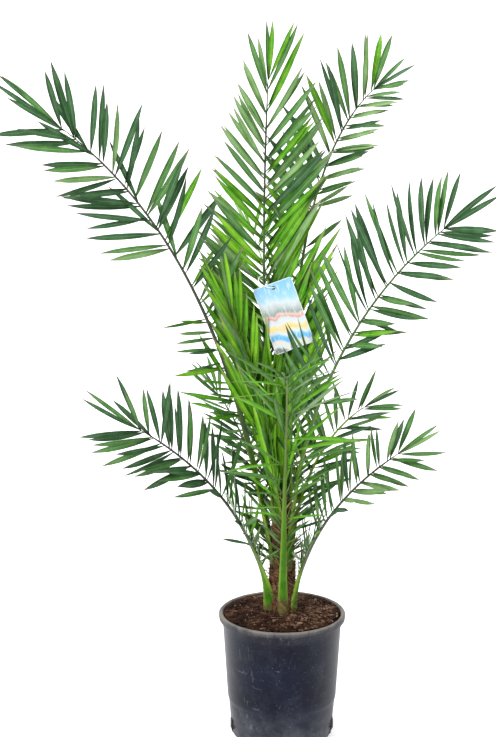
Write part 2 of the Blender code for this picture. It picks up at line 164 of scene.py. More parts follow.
# How each frond's leaflets are finished.
# finer: leaflets for each one on the solid part. crowd: below one, they stand closer at the
# foot than at the tip. width: of the longest leaflets. spread: angles from the rib at foot,
# middle and tip. wild: degrees by which they stray. sides: length on the rib's two sides.
# low, high: shares of the leaf finishes at foot and tip, from deep green to lime and pale.
# under: share of pale undersides. beard: first and last place, number a side, length and
# angle of the thin leaflets below the others.
Habit = namedtuple("Habit", "finer crowd width spread wild sides low high under beard")
HABITS = {
    "frond_top": Habit(
        3.05, 0.76, 0.0136, (36, 48, 17), 5, (1.10, 1.38),
        (0, 2, 6, 3, 1), (0, 4, 2, 0, 4), 0.0, (0.10, 0.2, 6, 0.16, 30),
    ),
    "frond_left": Habit(
        2.30, 1.0, 0.0134, (66, 62, 36), 14, (1.0, 1.04),
        (0, 3, 7, 1, 0), (9, 3, 0, 0, 1), 0.2, (0.10, 0.52, 28, 0.092, 70),
    ),
    "frond_right": Habit(
        2.20, 1.10, 0.0138, (52, 58, 34), 9, (1.08, 1.18),
        (2, 6, 2, 0, 0), (9, 3, 0, 0, 0), 0.06, (0.16, 0.30, 7, 0.11, 45),
    ),
    "frond_right_top": Habit(
        2.45, 1.0, 0.0126, (56, 58, 34), 10, (1.2, 0.72),
        (0, 4, 3, 1, 3), (2, 5, 0, 0, 7), 0.6, (0.27, 0.5, 18, 0.15, 30),
    ),
    "frond_front": Habit(
        1.55, 0.9, 0.0108, (80, 64, 36), 27, (1.0, 1.0),
        (1, 5, 6, 1, 0), (1, 4, 4, 0, 0), 0.15, (0.14, 0.36, 10, 0.12, 58),
    ),
    "frond_left_low": Habit(
        2.50, 1.0, 0.0122, (56, 56, 34), 12, (1.04, 1.04),
        (1, 5, 4, 0, 0), (9, 3, 0, 0, 0), 0.2, (0.17, 0.32, 11, 0.11, 45),
    ),
    "frond_right_low": Habit(
        2.30, 1.0, 0.0116, (58, 57, 34), 12, (1.04, 1.04),
        (1, 5, 3, 0, 3), (3, 5, 0, 0, 6), 0.6, (0.17, 0.32, 11, 0.10, 45),
    ),
    "frond_right_back": Habit(
        1.80, 0.9, 0.0104, (58, 56, 32), 14, (1.0, 1.0),
        (2, 5, 3, 0, 0), (3, 4, 2, 0, 1), 0.5, (0.12, 0.3, 9, 0.10, 50),
    ),
    "frond_young": Habit(
        2.00, 0.9, 0.0100, (26, 23, 10), 6, (1.0, 1.0),
        (0, 1, 6, 4, 0), (0, 2, 6, 3, 1), 0.0, (0.1, 0.2, 4, 0.12, 24),
    ),
    "frond_back_left": Habit(
        1.80, 0.9, 0.0100, (58, 56, 30), 14, (1.0, 1.0),
        (2, 5, 3, 0, 0), (3, 5, 1, 0, 0), 0.2, (0.12, 0.3, 11, 0.10, 55),
    ),
    "frond_back": Habit(
        1.60, 0.9, 0.0095, (58, 56, 30), 18, (1.0, 1.0),
        (2, 5, 3, 1, 0), (2, 5, 2, 0, 0), 0.2, (0.12, 0.3, 9, 0.10, 55),
    ),
    "frond_back_high": Habit(
        1.90, 0.9, 0.0098, (54, 52, 30), 12, (1.0, 1.0),
        (0, 2, 6, 3, 0), (0, 2, 6, 2, 1), 0.0, (0.14, 0.3, 8, 0.11, 50),
    ),
}
BEARD_SHADES = (3, 4, 3, 0, 1)
# foot and tip shares of the finishes where a frond's two sides differ
SIDE_SHADES = {
    # and partly painted sheen; the bright green on side 1 is partly painted light through the leaflets
    # on the top frond, the pale finish towards the tip of side -1 is partly waxy bloom
    ("frond_top", -1): ((0, 1, 8, 4, 0), (0, 3, 2, 0, 8)),
    ("frond_top", 1): ((0, 0, 9, 3, 0), (1, 4, 7, 0, 2)),
    ("frond_right_top", -1): ((0, 1, 7, 3, 1), (4, 5, 1, 0, 3)),
}
# angles at foot, middle and tip where a frond's two sides differ, and where they start to open
SIDE_SPREADS = {
    ("frond_top", -1): (31, 49, 20, 0.25),
    ("frond_top", 1): (29, 50, 20, 0.50),
    ("frond_right", 1): (45, 48, 34, 0.25),
}
SPREAD_OPENS = 0.25  # where along a frond its leaflets start to open, and over what length
OPENING_LENGTH = 0.25
SPREAD_CLOSING = 4.0  # how late the leaflets close up towards the tip
SIDE_WIDTHS = {("frond_right", 1): 0.82}
# place, direction, length and width of a leaflet that stands alone on a bare stalk
LONE_LEAFLETS = {"frond_left_low": (0.28, Vector((-0.90, -0.25, 0.28)), 0.062, 0.0070)}
# side, first and last place, and share of leaflets missing where a frond is bare or thin
GAPS = {
    "frond_left": ((-1, 0.20, 0.46, 0.7), (-1, 0.46, 0.665, 1.0)),
    "frond_left_low": ((-1, 0.20, 0.60, 0.62),),
    "frond_right": ((1, 0.28, 0.62, 0.42), (1, 0.62, 0.93, 0.20)),
    "frond_right_low": ((1, 0.20, 0.62, 0.75),),
    "frond_right_top": ((1, 0.46, 0.67, 0.85),),
    "frond_front": ((1, 0.36, 0.80, 0.35),),
    "frond_back_high": ((1, 0.28, 0.85, 0.5),),
}
# share of leaflets that lie along the rib, on the fronds where any do
PRESSED = {"frond_left": 0.15, "frond_front": 0.06, "frond_left_low": 0.05, "frond_back": 0.08}
# how soon the leaflets shorten towards the tip: below one, soon above a frond's middle
SHORTENING = 1.4
SHORTENINGS = {"frond_top": 0.72}
BOX_MARGIN = 0.016  # how far leaflets may reach past the solid part's own box
YOUNG_FRONDS = ("frond_top", "frond_young")
# which of the rib finishes a frond has, and from what share of its length
RIB_LOOKS = {
    "frond_top": (1, 0.70),
    "frond_left": (1, 0.0),
    "frond_left_low": (1, 0.0),
    "frond_right_low": (1, 0.0),
    "frond_young": (2, 0.0),
    "frond_back_high": (2, 0.0),
    "frond_right_back": (2, 0.0),
    "frond_front": (3, 0.0),
}

# ---- measures of the finer work

PATH_POINTS = 73
RIB_SIDES = 14
RIB_RINGS = 72
RIB_TIP_RADIUS = 0.0018  # the ribs are drawn a little fuller than the solid part's
RIB_TAPER = 2.1
RIB_TAPERS = {"frond_front": 3.4}
HEEL_DEPTH = 0.016  # how far a stalk's foot runs down past its seat
# how much wider than the stalk its foot spreads round the trunk, and how far up it narrows
CLASP = (0.55, 0.055)
CLASPS = {"frond_front": (0.14, 0.050), "frond_left_low": (0.70, 0.110)}
LEFT_TURN = 48.0  # degrees by which the low left stalk's foot faces the front
LEFT_TURN_END = 0.22  # where along the rib that turn has run out
FOOT_DRIED = {"frond_front": 0.015, "frond_left_low": 0.012}  # shift of the map at a dried foot

BLADE_RINGS = 10
BLADE_STRIPS = 4
BLADE_THICKNESS = 0.0005
BLADE_FOLD = 31.0  # degrees that each half of a blade rises from its midrib
COPY_SHARP_ANGLE = math.radians(80)  # at which the rims of copied pieces stay crisp
CARD_SHARP_ANGLE = math.radians(40)
POT_SHARP_ANGLE = math.radians(38)
LEAFLET_RISE = 24.0  # degrees by which the rows rise out of the frond's plane
LEAFLET_TIERS = 9  # degrees by which every other leaflet rises more, and the rest less
LEAFLET_BUNCHING = 0.29  # how far leaflets stand together in twos, as a share of their spacing
LEAFLETS_END = 0.992  # where along the rib the last of the rows stand
LEAFLET_LENGTHS = (0.82, 1.06)  # least and most of what its place gives a leaflet
LEAFLET_WIDTHS = (0.84, 1.12)
LEAFLET_TWIST = 38  # most degrees by which a leaflet twists, and by which its fold strays
LEAFLET_FOLD = 8
PRESSED_ANGLE = 0.25  # what is left of a leaflet's angle where it lies along the rib
LONE_FACING = Vector((0.0, -0.6, 0.8))
DRY_TIPS = 0.22  # share of leaflets with a dry tip
DRY_FROM = 0.955  # how far up a leaflet that tip starts
TEST_MARGIN = 0.0004  # kept clear beside a leaflet where others are tested against it
# turn in degrees and share of its size that a leaflet tries in turn, to miss all others
TRIES = ((0, 1), (6, 1), (-6, 1), (12, 1), (-12, 1), (18, 0.9), (-18, 0.9), (0, 0.6))
SIGHT_RISE = 0.12  # how steeply the line of sight to the card climbs towards the viewer
SIGHT_STEPS = 8
SIGHT_ROOM = (0.006, 0.012)  # kept clear beside the card, and above and below

THORN_SIDES = 5
THORN_RINGS = 5
SPINE_SPACING = 0.022
SPINE_RADIUS = 0.0011
SPINE_REACH = (0.022, 0.050)  # length of the lowest and of the highest
SPINES_MISSING = 0.25
SPEARS = 15
SPEAR_FAN = 21.0  # degrees over which the spears fan out
SPEAR_FAN_RIGHT = 5.0  # how many of these lie on the right
SPEAR_FOOT = 0.425  # height at which they leave the heart of the palm
SPEAR_LENGTHS = (0.24, 0.44)
SPEAR_SHADES = (2, 3, 3)

TRUNK_SIDES = 144
TRUNK_RINGS = 151
TRUNK_SUNK = 0.004  # how far the bark runs down into the soil
BARK_RING = 0.030  # from one old leaf base's ring to the next
SCALES = 17
SCALE_CLIMB = 0.175  # from the lowest to the highest
SCALE_TURN = 137.5  # degrees from one to the next, round the trunk
SCALE_DEPTH = 0.022
SCALE_HEIGHTS = (0.040, 0.060)
SCALE_HALF_TURNS = (34, 48)
SCALE_LIFTS = (0.0004, 0.0032)
FIBRES = 1200
FIBRES_LOOSE = 0.42
LOOSE_LENGTHS = (0.010, 0.034)
WOVEN_LENGTHS = (0.018, 0.034)
FIBRE_RADII = (0.0003, 0.0008)

SOIL_SIDES = 160
SOIL_RINGS = 52
SOIL_DEPTH = 0.05
SOIL_CRUMBS = 2600
CRUMB_SHAPES = 5
CRUMB_FLATNESS = 0.7
CRUMB_SIZES = (0.0006, 0.0034)
SOIL_TWIGS = 150
TWIG_LENGTHS = (0.006, 0.032)
TWIG_RADII = (0.0003, 0.0010)

POT_SIDES = 144
LIP_ROLL = 0.0035
LIP_STEPS = 8
LUG_SIZE = (0.0075, 0.0110, 0.0200)
LUG_PLACE = (0.0960, 0.0230)  # from the pot's middle, and up
LUG_HEADINGS = (13, 167, 193, 347)
LUG_BEVEL = 0.0011
LUG_RIM = 0.0016
LUG_HOLLOW = 0.0022
MUD_CRUMBS = 60
MUD_SHAPES = 3
MUD_SIZES = (0.0007, 0.0021)

CARD_ROWS = 12
CARD_COLUMNS = 8

BACKDROP_SIZE = (34.0, 22.0)
BACKDROP_SHIFT = -0.07  # towards the front, as a share of its depth
BACKDROP_RISE = 9.0
BACKDROP_BEND = 3.5
BACKDROP_GLOW = 0.42
SKY_LIGHTS, SKY_SEEN = 0.38, 0.86
# name, place, what it points at, width and height, and power
LIGHTS = (
    ("key", (-1.9, -2.0, 2.7), (0, 0, 0.65), (0.9, 0.9), 122),
    ("fill", (2.3, -1.5, 1.9), (0, 0, 0.6), (1.6, 2.0), 30),
    ("top", (0.0, 0.4, 3.3), (0, 0, 0.5), (1.6, 1.6), 60),
    ("backdrop_wash", (0.0, 3.6, 5.6), (0, 9.0, 0.6), (9.0, 2.5), 900),
)
CAMERA_PLACE = (-0.0645, -2.799, 1.253)
CAMERA_DIP = 11.0  # degrees by which it looks down
CAMERA_LENS = 50.47


# ---- meshes


def at_compass(radius, compass, height):
    """A point at a distance from the pot's middle, at a compass angle in radians."""
    return radius * math.cos(compass), radius * math.sin(compass), height


def deselect():
    if bpy.context.object and bpy.context.object.mode != "OBJECT":
        bpy.ops.object.mode_set(mode="OBJECT")
    bpy.ops.object.select_all(action="DESELECT")


def made(name):
    """The object that an operator has just added, named, and with its place in its mesh."""
    piece = bpy.context.object
    piece.name = name
    piece.data.name = name
    piece.data.transform(piece.matrix_basis)
    piece.matrix_basis = Matrix.Identity(4)
    return piece


def apply_modifier(piece, kind, **values):
    modifier = piece.modifiers.new(kind.title(), kind)
    for key, value in values.items():
        setattr(modifier, key, value)
    deselect()
    bpy.context.view_layer.objects.active = piece
    piece.select_set(True)
    bpy.ops.object.modifier_apply(modifier=modifier.name)


def select_edges(piece, is_chosen):
    """Selects, in edit mode, only the edges that a rule picks out."""
    bpy.ops.mesh.select_all(action="DESELECT")
    bm = bmesh.from_edit_mesh(piece.data)
    for edge in bm.edges:
        edge.select_set(is_chosen(edge))
    bmesh.update_edit_mesh(piece.data)


def ring_upright(piece, rings):
    """Divides an upright bar of unit height into rings."""
    bpy.ops.object.mode_set(mode="EDIT")
    select_edges(piece, lambda edge: abs(edge.verts[0].co.z - edge.verts[1].co.z) > 0.5)
    bpy.ops.mesh.subdivide(number_cuts=rings - 1)
    bpy.ops.object.mode_set(mode="OBJECT")


def clean(piece):
    """Welds doubles and turns the faces outwards."""
    bm = bmesh.new()
    bm.from_mesh(piece.data)
    bmesh.ops.remove_doubles(bm, verts=bm.verts, dist=0.00001)
    bmesh.ops.recalc_face_normals(bm, faces=bm.faces)
    bm.to_mesh(piece.data)
    bm.free()


def coordinates(mesh):
    points = np.empty(len(mesh.vertices) * 3)
    mesh.vertices.foreach_get("co", points)
    return points.reshape(-1, 3)


def set_coordinates(mesh, points):
    mesh.vertices.foreach_set("co", np.ascontiguousarray(points, dtype=float).ravel())
    mesh.update()


class Blank:
    """A small modelled piece, kept as arrays, that is copied many times into one mesh."""

    def __init__(self, piece):
        mesh = piece.data
        self.points = coordinates(mesh)
        self.faces = [tuple(face.vertices) for face in mesh.polygons]
        self.finishes = [face.material_index for face in mesh.polygons]
        layer = mesh.uv_layers.active
        self.uvs = [tuple(loop.uv) for loop in layer.data] if layer else []
        bpy.data.objects.remove(piece, do_unlink=True)


class Heap:
    """Copies of blanks, gathered into one mesh."""

    def __init__(self):
        self.points = []
        self.faces = []
        self.finishes = []
        self.uvs = []
        self.count = 0

    def add(self, blank, points, finishes=None, uvs=None):
        self.faces += [tuple(self.count + i for i in face) for face in blank.faces]
        self.finishes += finishes or blank.finishes
        self.points.append(points)
        self.uvs += uvs or blank.uvs
        self.count += len(points)

    def piece(self, name, materials, smooth=True):
        mesh = bpy.data.meshes.new(name)
        points = np.concatenate(self.points)
        mesh.from_pydata(points.tolist(), [], self.faces)
        for finish in materials:
            mesh.materials.append(finish)
        mesh.polygons.foreach_set("material_index", self.finishes)
        if self.uvs:
            layer = mesh.uv_layers.new(name="UVMap")
            layer.data.foreach_set("uv", np.array(self.uvs, dtype=float).ravel())
        if smooth:
            mesh.shade_smooth()
            mesh.set_sharp_from_angle(angle=COPY_SHARP_ANGLE)
        mesh.update()
        piece = bpy.data.objects.new(name, mesh)
        bpy.context.scene.collection.objects.link(piece)
        return piece


def fit(piece, slot, *nodes):
    """Hangs the piece on the root body and hides the solids it stands for; slot is not used."""
    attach(piece, "root")
    if nodes:
        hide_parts(*nodes)
    return piece


# ---- finishes


def opaque(value):
    """A colour with its full opacity, or a number as it is."""
    return (*value, 1) if isinstance(value, tuple) else value


def feed(tree, socket, value):
    """Links another node's output to a socket, or sets the socket's own value."""
    if isinstance(value, bpy.types.NodeSocket):
        tree.links.new(value, socket)
    else:
        socket.default_value = opaque(value)


def node_group(name, inputs, outputs):
    """A shader node group, and the nodes where it starts and ends."""
    group = bpy.data.node_groups.new(name, "ShaderNodeTree")
    for label, value in inputs.items():
        kind = "NodeSocketColor" if isinstance(value, tuple) else "NodeSocketFloat"
        socket = group.interface.new_socket(label, in_out="INPUT", socket_type=kind)
        socket.default_value = opaque(value)
    for label in outputs:
        kind = "NodeSocketColor" if label == "Colour" else "NodeSocketFloat"
        group.interface.new_socket(label, in_out="OUTPUT", socket_type=kind)
    return group, group.nodes.new("NodeGroupInput"), group.nodes.new("NodeGroupOutput")


def add_place(tree, output):
    """Object coordinates or a piece's own map, whole and split along its axes."""
    place = tree.nodes.new("ShaderNodeTexCoord").outputs[output]
    split = tree.nodes.new("ShaderNodeSeparateXYZ")
    tree.links.new(place, split.inputs[0])
    return place, *split.outputs


def add_noise(tree, scale, detail=4.0, roughness=0.5, place=None):
    node = tree.nodes.new("ShaderNodeTexNoise")
    if place is None:
        place = tree.nodes.new("ShaderNodeTexCoord").outputs["Object"]
    for label, value in (
        ("Detail", detail), ("Roughness", roughness), ("Scale", scale), ("Vector", place)
    ):
        feed(tree, node.inputs[label], value)
    return node.outputs["Fac"]


def add_range(tree, value, low, high, to_low=0.0, to_high=1.0):
    node = tree.nodes.new("ShaderNodeMapRange")
    for label, given in (
        ("From Min", low), ("From Max", high), ("To Min", to_low), ("To Max", to_high), ("Value", value)
    ):
        feed(tree, node.inputs[label], given)
    return node.outputs["Result"]


def add_mix(tree, factor, first, second):
    node = tree.nodes.new("ShaderNodeMix")
    node.data_type = "RGBA"
    for value, socket in ((factor, 0), (first, 6), (second, 7)):
        feed(tree, node.inputs[socket], value)
    return node.outputs[2]


def add_math(tree, operation, first, second=0.0, clamp=False):
    node = tree.nodes.new("ShaderNodeMath")
    node.operation = operation
    node.use_clamp = clamp
    feed(tree, node.inputs[0], first)
    feed(tree, node.inputs[1], second)
    return node.outputs[0]


def add_distance(tree, value, middle):
    """How far a value lies from a middle one, either way."""
    return add_math(tree, "ABSOLUTE", add_math(tree, "SUBTRACT", value, middle))


def mottle_group():
    """One colour drifting into another in soft patches."""
    inputs = {"First": (1, 1, 1), "Second": (0, 0, 0), "Size": 40.0}
    group, start, end = node_group("mottle", inputs, ["Colour"])
    mask = add_range(group, add_noise(group, start.outputs["Size"], 5.0, 0.6), 0.36, 0.64)
    mixed = add_mix(group, mask, start.outputs["First"], start.outputs["Second"])
    group.links.new(mixed, end.inputs["Colour"])
    return group


def ribbing_group():
    """Fine lengthwise veins and a paler midrib, across the U of a leaf's own map."""
    inputs = {"Colour": (1, 1, 1), "Midrib": (1, 1, 1), "Tip": (1, 1, 1), "Veins": 9.0}
    group, start, end = node_group("ribbing", inputs, ["Colour", "Height"])
    _, across, up, _ = add_place(group, "UV")
    turns = add_math(group, "MULTIPLY", across, start.outputs["Veins"])
    wave = add_math(group, "SINE", add_math(group, "MULTIPLY", turns, 2 * math.pi))
    from_middle = add_distance(group, across, 0.5)
    middle = add_range(group, from_middle, 0.02, 0.075, 1.0, 0.0)
    edge = add_range(group, from_middle, 0.34, 0.50, 0.0, 0.42)
    # painted shade: each leaflet is darkened towards its foot, in the fold where it meets the rib
    foot = add_range(group, up, 0.0, 0.34, 0.52, 0.0)
    veins_and_fold_shade = add_math(group, "ADD", add_range(group, wave, -1.0, 1.0, 0.0, 0.10), foot)
    dark = add_math(group, "ADD", veins_and_fold_shade, edge, clamp=True)
    veined_and_shaded = add_mix(group, dark, start.outputs["Colour"], (0.008, 0.010, 0.003))
    paler = add_math(group, "MULTIPLY", middle, 0.55)
    marked = add_mix(group, paler, veined_and_shaded, start.outputs["Midrib"])
    faded = add_range(group, up, 0.80, 0.99, 0.0, 0.70)
    group.links.new(add_mix(group, faded, marked, start.outputs["Tip"]), end.inputs["Colour"])
    height = add_math(group, "ADD", add_math(group, "MULTIPLY", wave, 0.4), middle)
    group.links.new(height, end.inputs["Height"])
    return group


def dust_group():
    """Dust and splashed soil, thickest low down and where the pot's lip faces up."""
    inputs = {"Clean": (0, 0, 0), "Dust": (0.3, 0.26, 0.23), "High": 0.05}
    group, start, end = node_group("dust", inputs, ["Colour", "Mask"])
    facing = group.nodes.new("ShaderNodeSeparateXYZ")
    geometry = group.nodes.new("ShaderNodeNewGeometry")
    group.links.new(geometry.outputs["Normal"], facing.inputs[0])
    _, _, _, height = add_place(group, "Object")
    lip = add_range(group, height, POT_HEIGHT - 0.03, POT_HEIGHT - 0.01)
    settled = add_range(group, facing.outputs["Z"], -0.3, 0.9, 0.05, 1.1)
    splashed = add_range(group, height, 0.0, start.outputs["High"], 0.45, 0.0)
    film = add_math(group, "ADD", add_math(group, "MULTIPLY", settled, lip), splashed)
    cloud = add_range(group, add_noise(group, 26.0, 6.0, 0.65), 0.40, 0.66)
    speck = add_range(group, add_noise(group, 380.0, 2.0, 0.5), 0.665, 0.72, 0.0, 0.34)
    veil = add_math(group, "MULTIPLY", film, add_math(group, "ADD", cloud, 0.35))
    specks = add_math(group, "MULTIPLY", speck, add_math(group, "ADD", cloud, 0.15))
    mask = add_math(group, "ADD", veil, specks, clamp=True)
    dusty = add_mix(group, mask, start.outputs["Clean"], start.outputs["Dust"])
    group.links.new(dusty, end.inputs["Colour"])
    group.links.new(mask, end.inputs["Mask"])
    return group


# stretch and turn of each set of scuffs, and the noise above which it shows
SCUFFS = (
    ((90, 90, 11), 0.5, 0.63),
    ((15, 15, 90), -0.35, 0.64),
    ((62, 62, 19), -0.9, 0.63),
)


def scratch_group():
    """Short pale scuffs running every way round an upright wall."""
    group, start, end = node_group("scratches", {"Amount": 1.0}, ["Mask"])
    place, *_ = add_place(group, "Object")
    total = 0.0
    for stretch, turn, low in SCUFFS:
        mapping = group.nodes.new("ShaderNodeMapping")
        mapping.inputs["Rotation"].default_value = (turn, turn * 0.6, 0.0)
        mapping.inputs["Scale"].default_value = stretch
        group.links.new(place, mapping.inputs["Vector"])
        texture = add_noise(group, 2.2, 3.0, 0.55, mapping.outputs["Vector"])
        total = add_math(group, "MAXIMUM", total, add_range(group, texture, low, low + 0.05))
    patches = add_range(group, add_noise(group, 19.0, 3.0), 0.48, 0.62)
    scuffed = add_math(group, "MULTIPLY", total, patches)
    kept = add_math(group, "MULTIPLY", scuffed, start.outputs["Amount"])
    group.links.new(kept, end.inputs["Mask"])
    return group


GROUPS = {
    "mottle": mottle_group(),
    "ribbing": ribbing_group(),
    "dust": dust_group(),
    "scratches": scratch_group(),
}


class Finish:
    """A material under construction."""

    def __init__(self, name, roughness, specular, coat=0.0, coat_roughness=0.2):
        self.material = bpy.data.materials.new(name)
        self.material.use_nodes = True
        self.tree = self.material.node_tree
        self.shader = self.tree.nodes["Principled BSDF"]
        self.shader.inputs["Roughness"].default_value = roughness
        self.shader.inputs["Specular IOR Level"].default_value = specular
        self.shader.inputs["Coat Weight"].default_value = coat
        self.shader.inputs["Coat Roughness"].default_value = coat_roughness

    def use(self, group, **values):
        """Places a node group with this material's own values."""
        node = self.tree.nodes.new("ShaderNodeGroup")
        node.node_tree = GROUPS[group]
        for label, value in values.items():
            feed(self.tree, node.inputs[label], value)
        return node.outputs

    def colour(self, socket):
        self.tree.links.new(socket, self.shader.inputs["Base Color"])

    def roughness(self, socket):
        self.tree.links.new(socket, self.shader.inputs["Roughness"])

    def bump(self, height, distance, strength):
        node = self.tree.nodes.new("ShaderNodeBump")
        node.inputs["Distance"].default_value = distance
        node.inputs["Strength"].default_value = strength
        self.tree.links.new(height, node.inputs["Height"])
        self.tree.links.new(node.outputs["Normal"], self.shader.inputs["Normal"])


def leaf_finish(name, shine, first, second, midrib, tip):
    finish = Finish(name, 0.5, shine)
    base = finish.use("mottle", First=first, Second=second, Size=34.0)
    ribs = finish.use("ribbing", Colour=base["Colour"], Midrib=midrib, Tip=tip, Veins=9.0)
    finish.colour(ribs["Colour"])
    finish.bump(ribs["Height"], 0.00018, 0.6)
    return finish.material


def skin_finish(name, first, second, size, roughness):
    """Smooth skin with fine drifts of colour."""
    finish = Finish(name, roughness, 0.5, 0.15, 0.25)
    finish.colour(finish.use("mottle", First=first, Second=second, Size=size)["Colour"])
    finish.bump(add_noise(finish.tree, 260.0, 3.0, 0.6), 0.0003, 0.5)
    return finish.material


def rib_finish(name, rachis, rachis_top):
    """Green stalk with pale edges and a dried foot, greying where it turns into the rib.

    The map runs round the section in U, and in V from the foot to the first leaflets (0.5)
    and on to the tip.
    """
    finish = Finish(name, 0.50, 0.14)
    tree = finish.tree
    _, round_rib, along, _ = add_place(tree, "UV")
    turn = add_math(tree, "MULTIPLY", round_rib, 2 * math.pi)
    sideways = add_math(tree, "ABSOLUTE", add_math(tree, "COSINE", turn))
    edge = add_range(tree, sideways, 0.45, 0.98, 0.0, 0.85)
    upper = add_range(tree, add_math(tree, "SINE", turn), -0.3, 0.6)
    green = finish.use("mottle", First=(0.018, 0.110, 0.002), Second=(0.050, 0.185, 0.005), Size=45.0)
    higher = add_range(tree, along, 0.06, 0.30, 0.0, 0.36)
    greener = add_mix(tree, higher, green["Colour"], (0.110, 0.265, 0.010))
    stalk = add_mix(tree, edge, greener, (0.235, 0.340, 0.040))
    rib = add_mix(tree, upper, rachis, rachis_top)
    skin = add_mix(tree, add_range(tree, along, 0.34, 0.60), stalk, rib)
    drift = add_math(tree, "MULTIPLY", add_noise(tree, 160.0, 4.0), 0.030)
    drifted = add_math(tree, "SUBTRACT", along, drift)
    dried = add_range(tree, drifted, -0.010, 0.014, 0.95, 0.0)
    straw = finish.use("mottle", First=(0.200, 0.165, 0.055), Second=(0.065, 0.038, 0.018), Size=140.0)
    finish.colour(add_mix(tree, dried, skin, straw["Colour"]))
    finish.bump(add_noise(tree, 260.0, 3.0, 0.6), 0.0003, 0.5)
    return finish.material


def rough_finish(name, first, second, third, size, grain_size, relief):
    """Dull crumbly or fibrous matter in three drifting colours."""
    finish = Finish(name, 0.92, 0.10)
    base = finish.use("mottle", First=first, Second=second, Size=size)
    flecks = finish.use("mottle", First=base["Colour"], Second=third, Size=size * 5.3)
    finish.colour(flecks["Colour"])
    finish.bump(add_noise(finish.tree, grain_size, 6.0, 0.7), relief, 0.8)
    return finish.material


def pot_finish():
    """Black plastic, scuffed, and dusty along its foot and on its lip."""
    finish = Finish("dusty_black_plastic", 0.42, 0.13)
    tree = finish.tree
    black, blue_black = (0.0004, 0.0008, 0.0080), (0.0018, 0.0042, 0.0170)
    tone = finish.use("mottle", First=black, Second=blue_black, Size=13.0)
    worn = finish.use("scratches", Amount=0.24)["Mask"]
    scuffed = add_mix(tree, worn, tone["Colour"], (0.20, 0.21, 0.23))
    grey = finish.use("dust", Clean=scuffed, Dust=(0.120, 0.130, 0.142), High=0.090)
    dusty = finish.use("dust", Clean=grey["Colour"], Dust=(0.180, 0.158, 0.136), High=0.014)
    smudge = add_range(tree, add_noise(tree, 31.0, 7.0, 0.7), 0.48, 0.74, 0.0, 0.07)
    finish.colour(add_mix(tree, smudge, dusty["Colour"], (0.20, 0.215, 0.24)))
    mask = add_math(tree, "MAXIMUM", dusty["Mask"], worn)
    finish.roughness(add_range(tree, mask, 0.0, 0.7, 0.36, 0.80))
    finish.bump(add_noise(tree, 900.0, 2.0), 0.00012, 0.5)
    return finish.material


# the card's colours, from its lower edge upwards
LABEL_BANDS = (
    (0.00, (0.16, 0.17, 0.17)),
    (0.05, (0.20, 0.22, 0.22)),
    (0.08, (0.62, 0.65, 0.65)),
    (0.16, (0.66, 0.64, 0.56)),
    (0.20, (0.10, 0.40, 0.74)),
    (0.25, (0.14, 0.46, 0.78)),
    (0.29, (0.60, 0.67, 0.72)),
    (0.36, (0.78, 0.57, 0.16)),
    (0.41, (0.72, 0.62, 0.38)),
    (0.44, (0.60, 0.66, 0.70)),
    (0.50, (0.54, 0.60, 0.64)),
    (0.53, (0.66, 0.27, 0.20)),
    (0.56, (0.66, 0.48, 0.44)),
    (0.60, (0.26, 0.31, 0.29)),
    (0.68, (0.46, 0.51, 0.51)),
    (0.75, (0.56, 0.63, 0.67)),
    (0.82, (0.32, 0.56, 0.75)),
    (1.00, (0.20, 0.47, 0.73)),
)


def label_finish():
    """A plain printed card: drifting bands of colour inside a white edge, with no lettering."""
    finish = Finish("printed_card", 0.30, 0.5, 0.35, 0.12)
    tree = finish.tree
    place, across, up, _ = add_place(tree, "UV")
    sway = tree.nodes.new("ShaderNodeMapping")
    sway.inputs["Scale"].default_value = (3.0, 1.1, 1.0)
    tree.links.new(place, sway.inputs["Vector"])
    ripple = add_math(tree, "SUBTRACT", add_noise(tree, 1.3, 1.0, 0.4, sway.outputs["Vector"]), 0.5)
    lifted = add_math(tree, "ADD", up, add_math(tree, "MULTIPLY", ripple, 0.22))
    height = add_math(tree, "ADD", lifted, add_math(tree, "MULTIPLY", across, 0.10))
    bands = tree.nodes.new("ShaderNodeValToRGB")
    elements = bands.color_ramp.elements
    while len(elements) < len(LABEL_BANDS):
        elements.new(0.5)
    for element, (stop, colour) in zip(elements, LABEL_BANDS):
        element.position = stop
        element.color = opaque(colour)
    tree.links.new(height, bands.inputs["Fac"])
    side_rim = add_range(tree, add_distance(tree, across, 0.5), 0.484, 0.490)
    end_rim = add_range(tree, add_distance(tree, up, 0.5), 0.490, 0.494)
    rim = add_math(tree, "MAXIMUM", side_rim, end_rim)
    clouds = add_noise(tree, 6.5, 4.0, 0.6, sway.outputs["Vector"])
    blots = add_range(tree, clouds, 0.52, 0.64, 0.0, 0.7)
    washed = add_mix(tree, blots, bands.outputs["Color"], (0.60, 0.66, 0.67))
    finish.colour(add_mix(tree, rim, washed, (0.76, 0.79, 0.80)))
    return finish.material


def plain_finish(name, colour, roughness, specular):
    finish = Finish(name, roughness, specular)
    finish.shader.inputs["Base Color"].default_value = opaque(colour)
    return finish


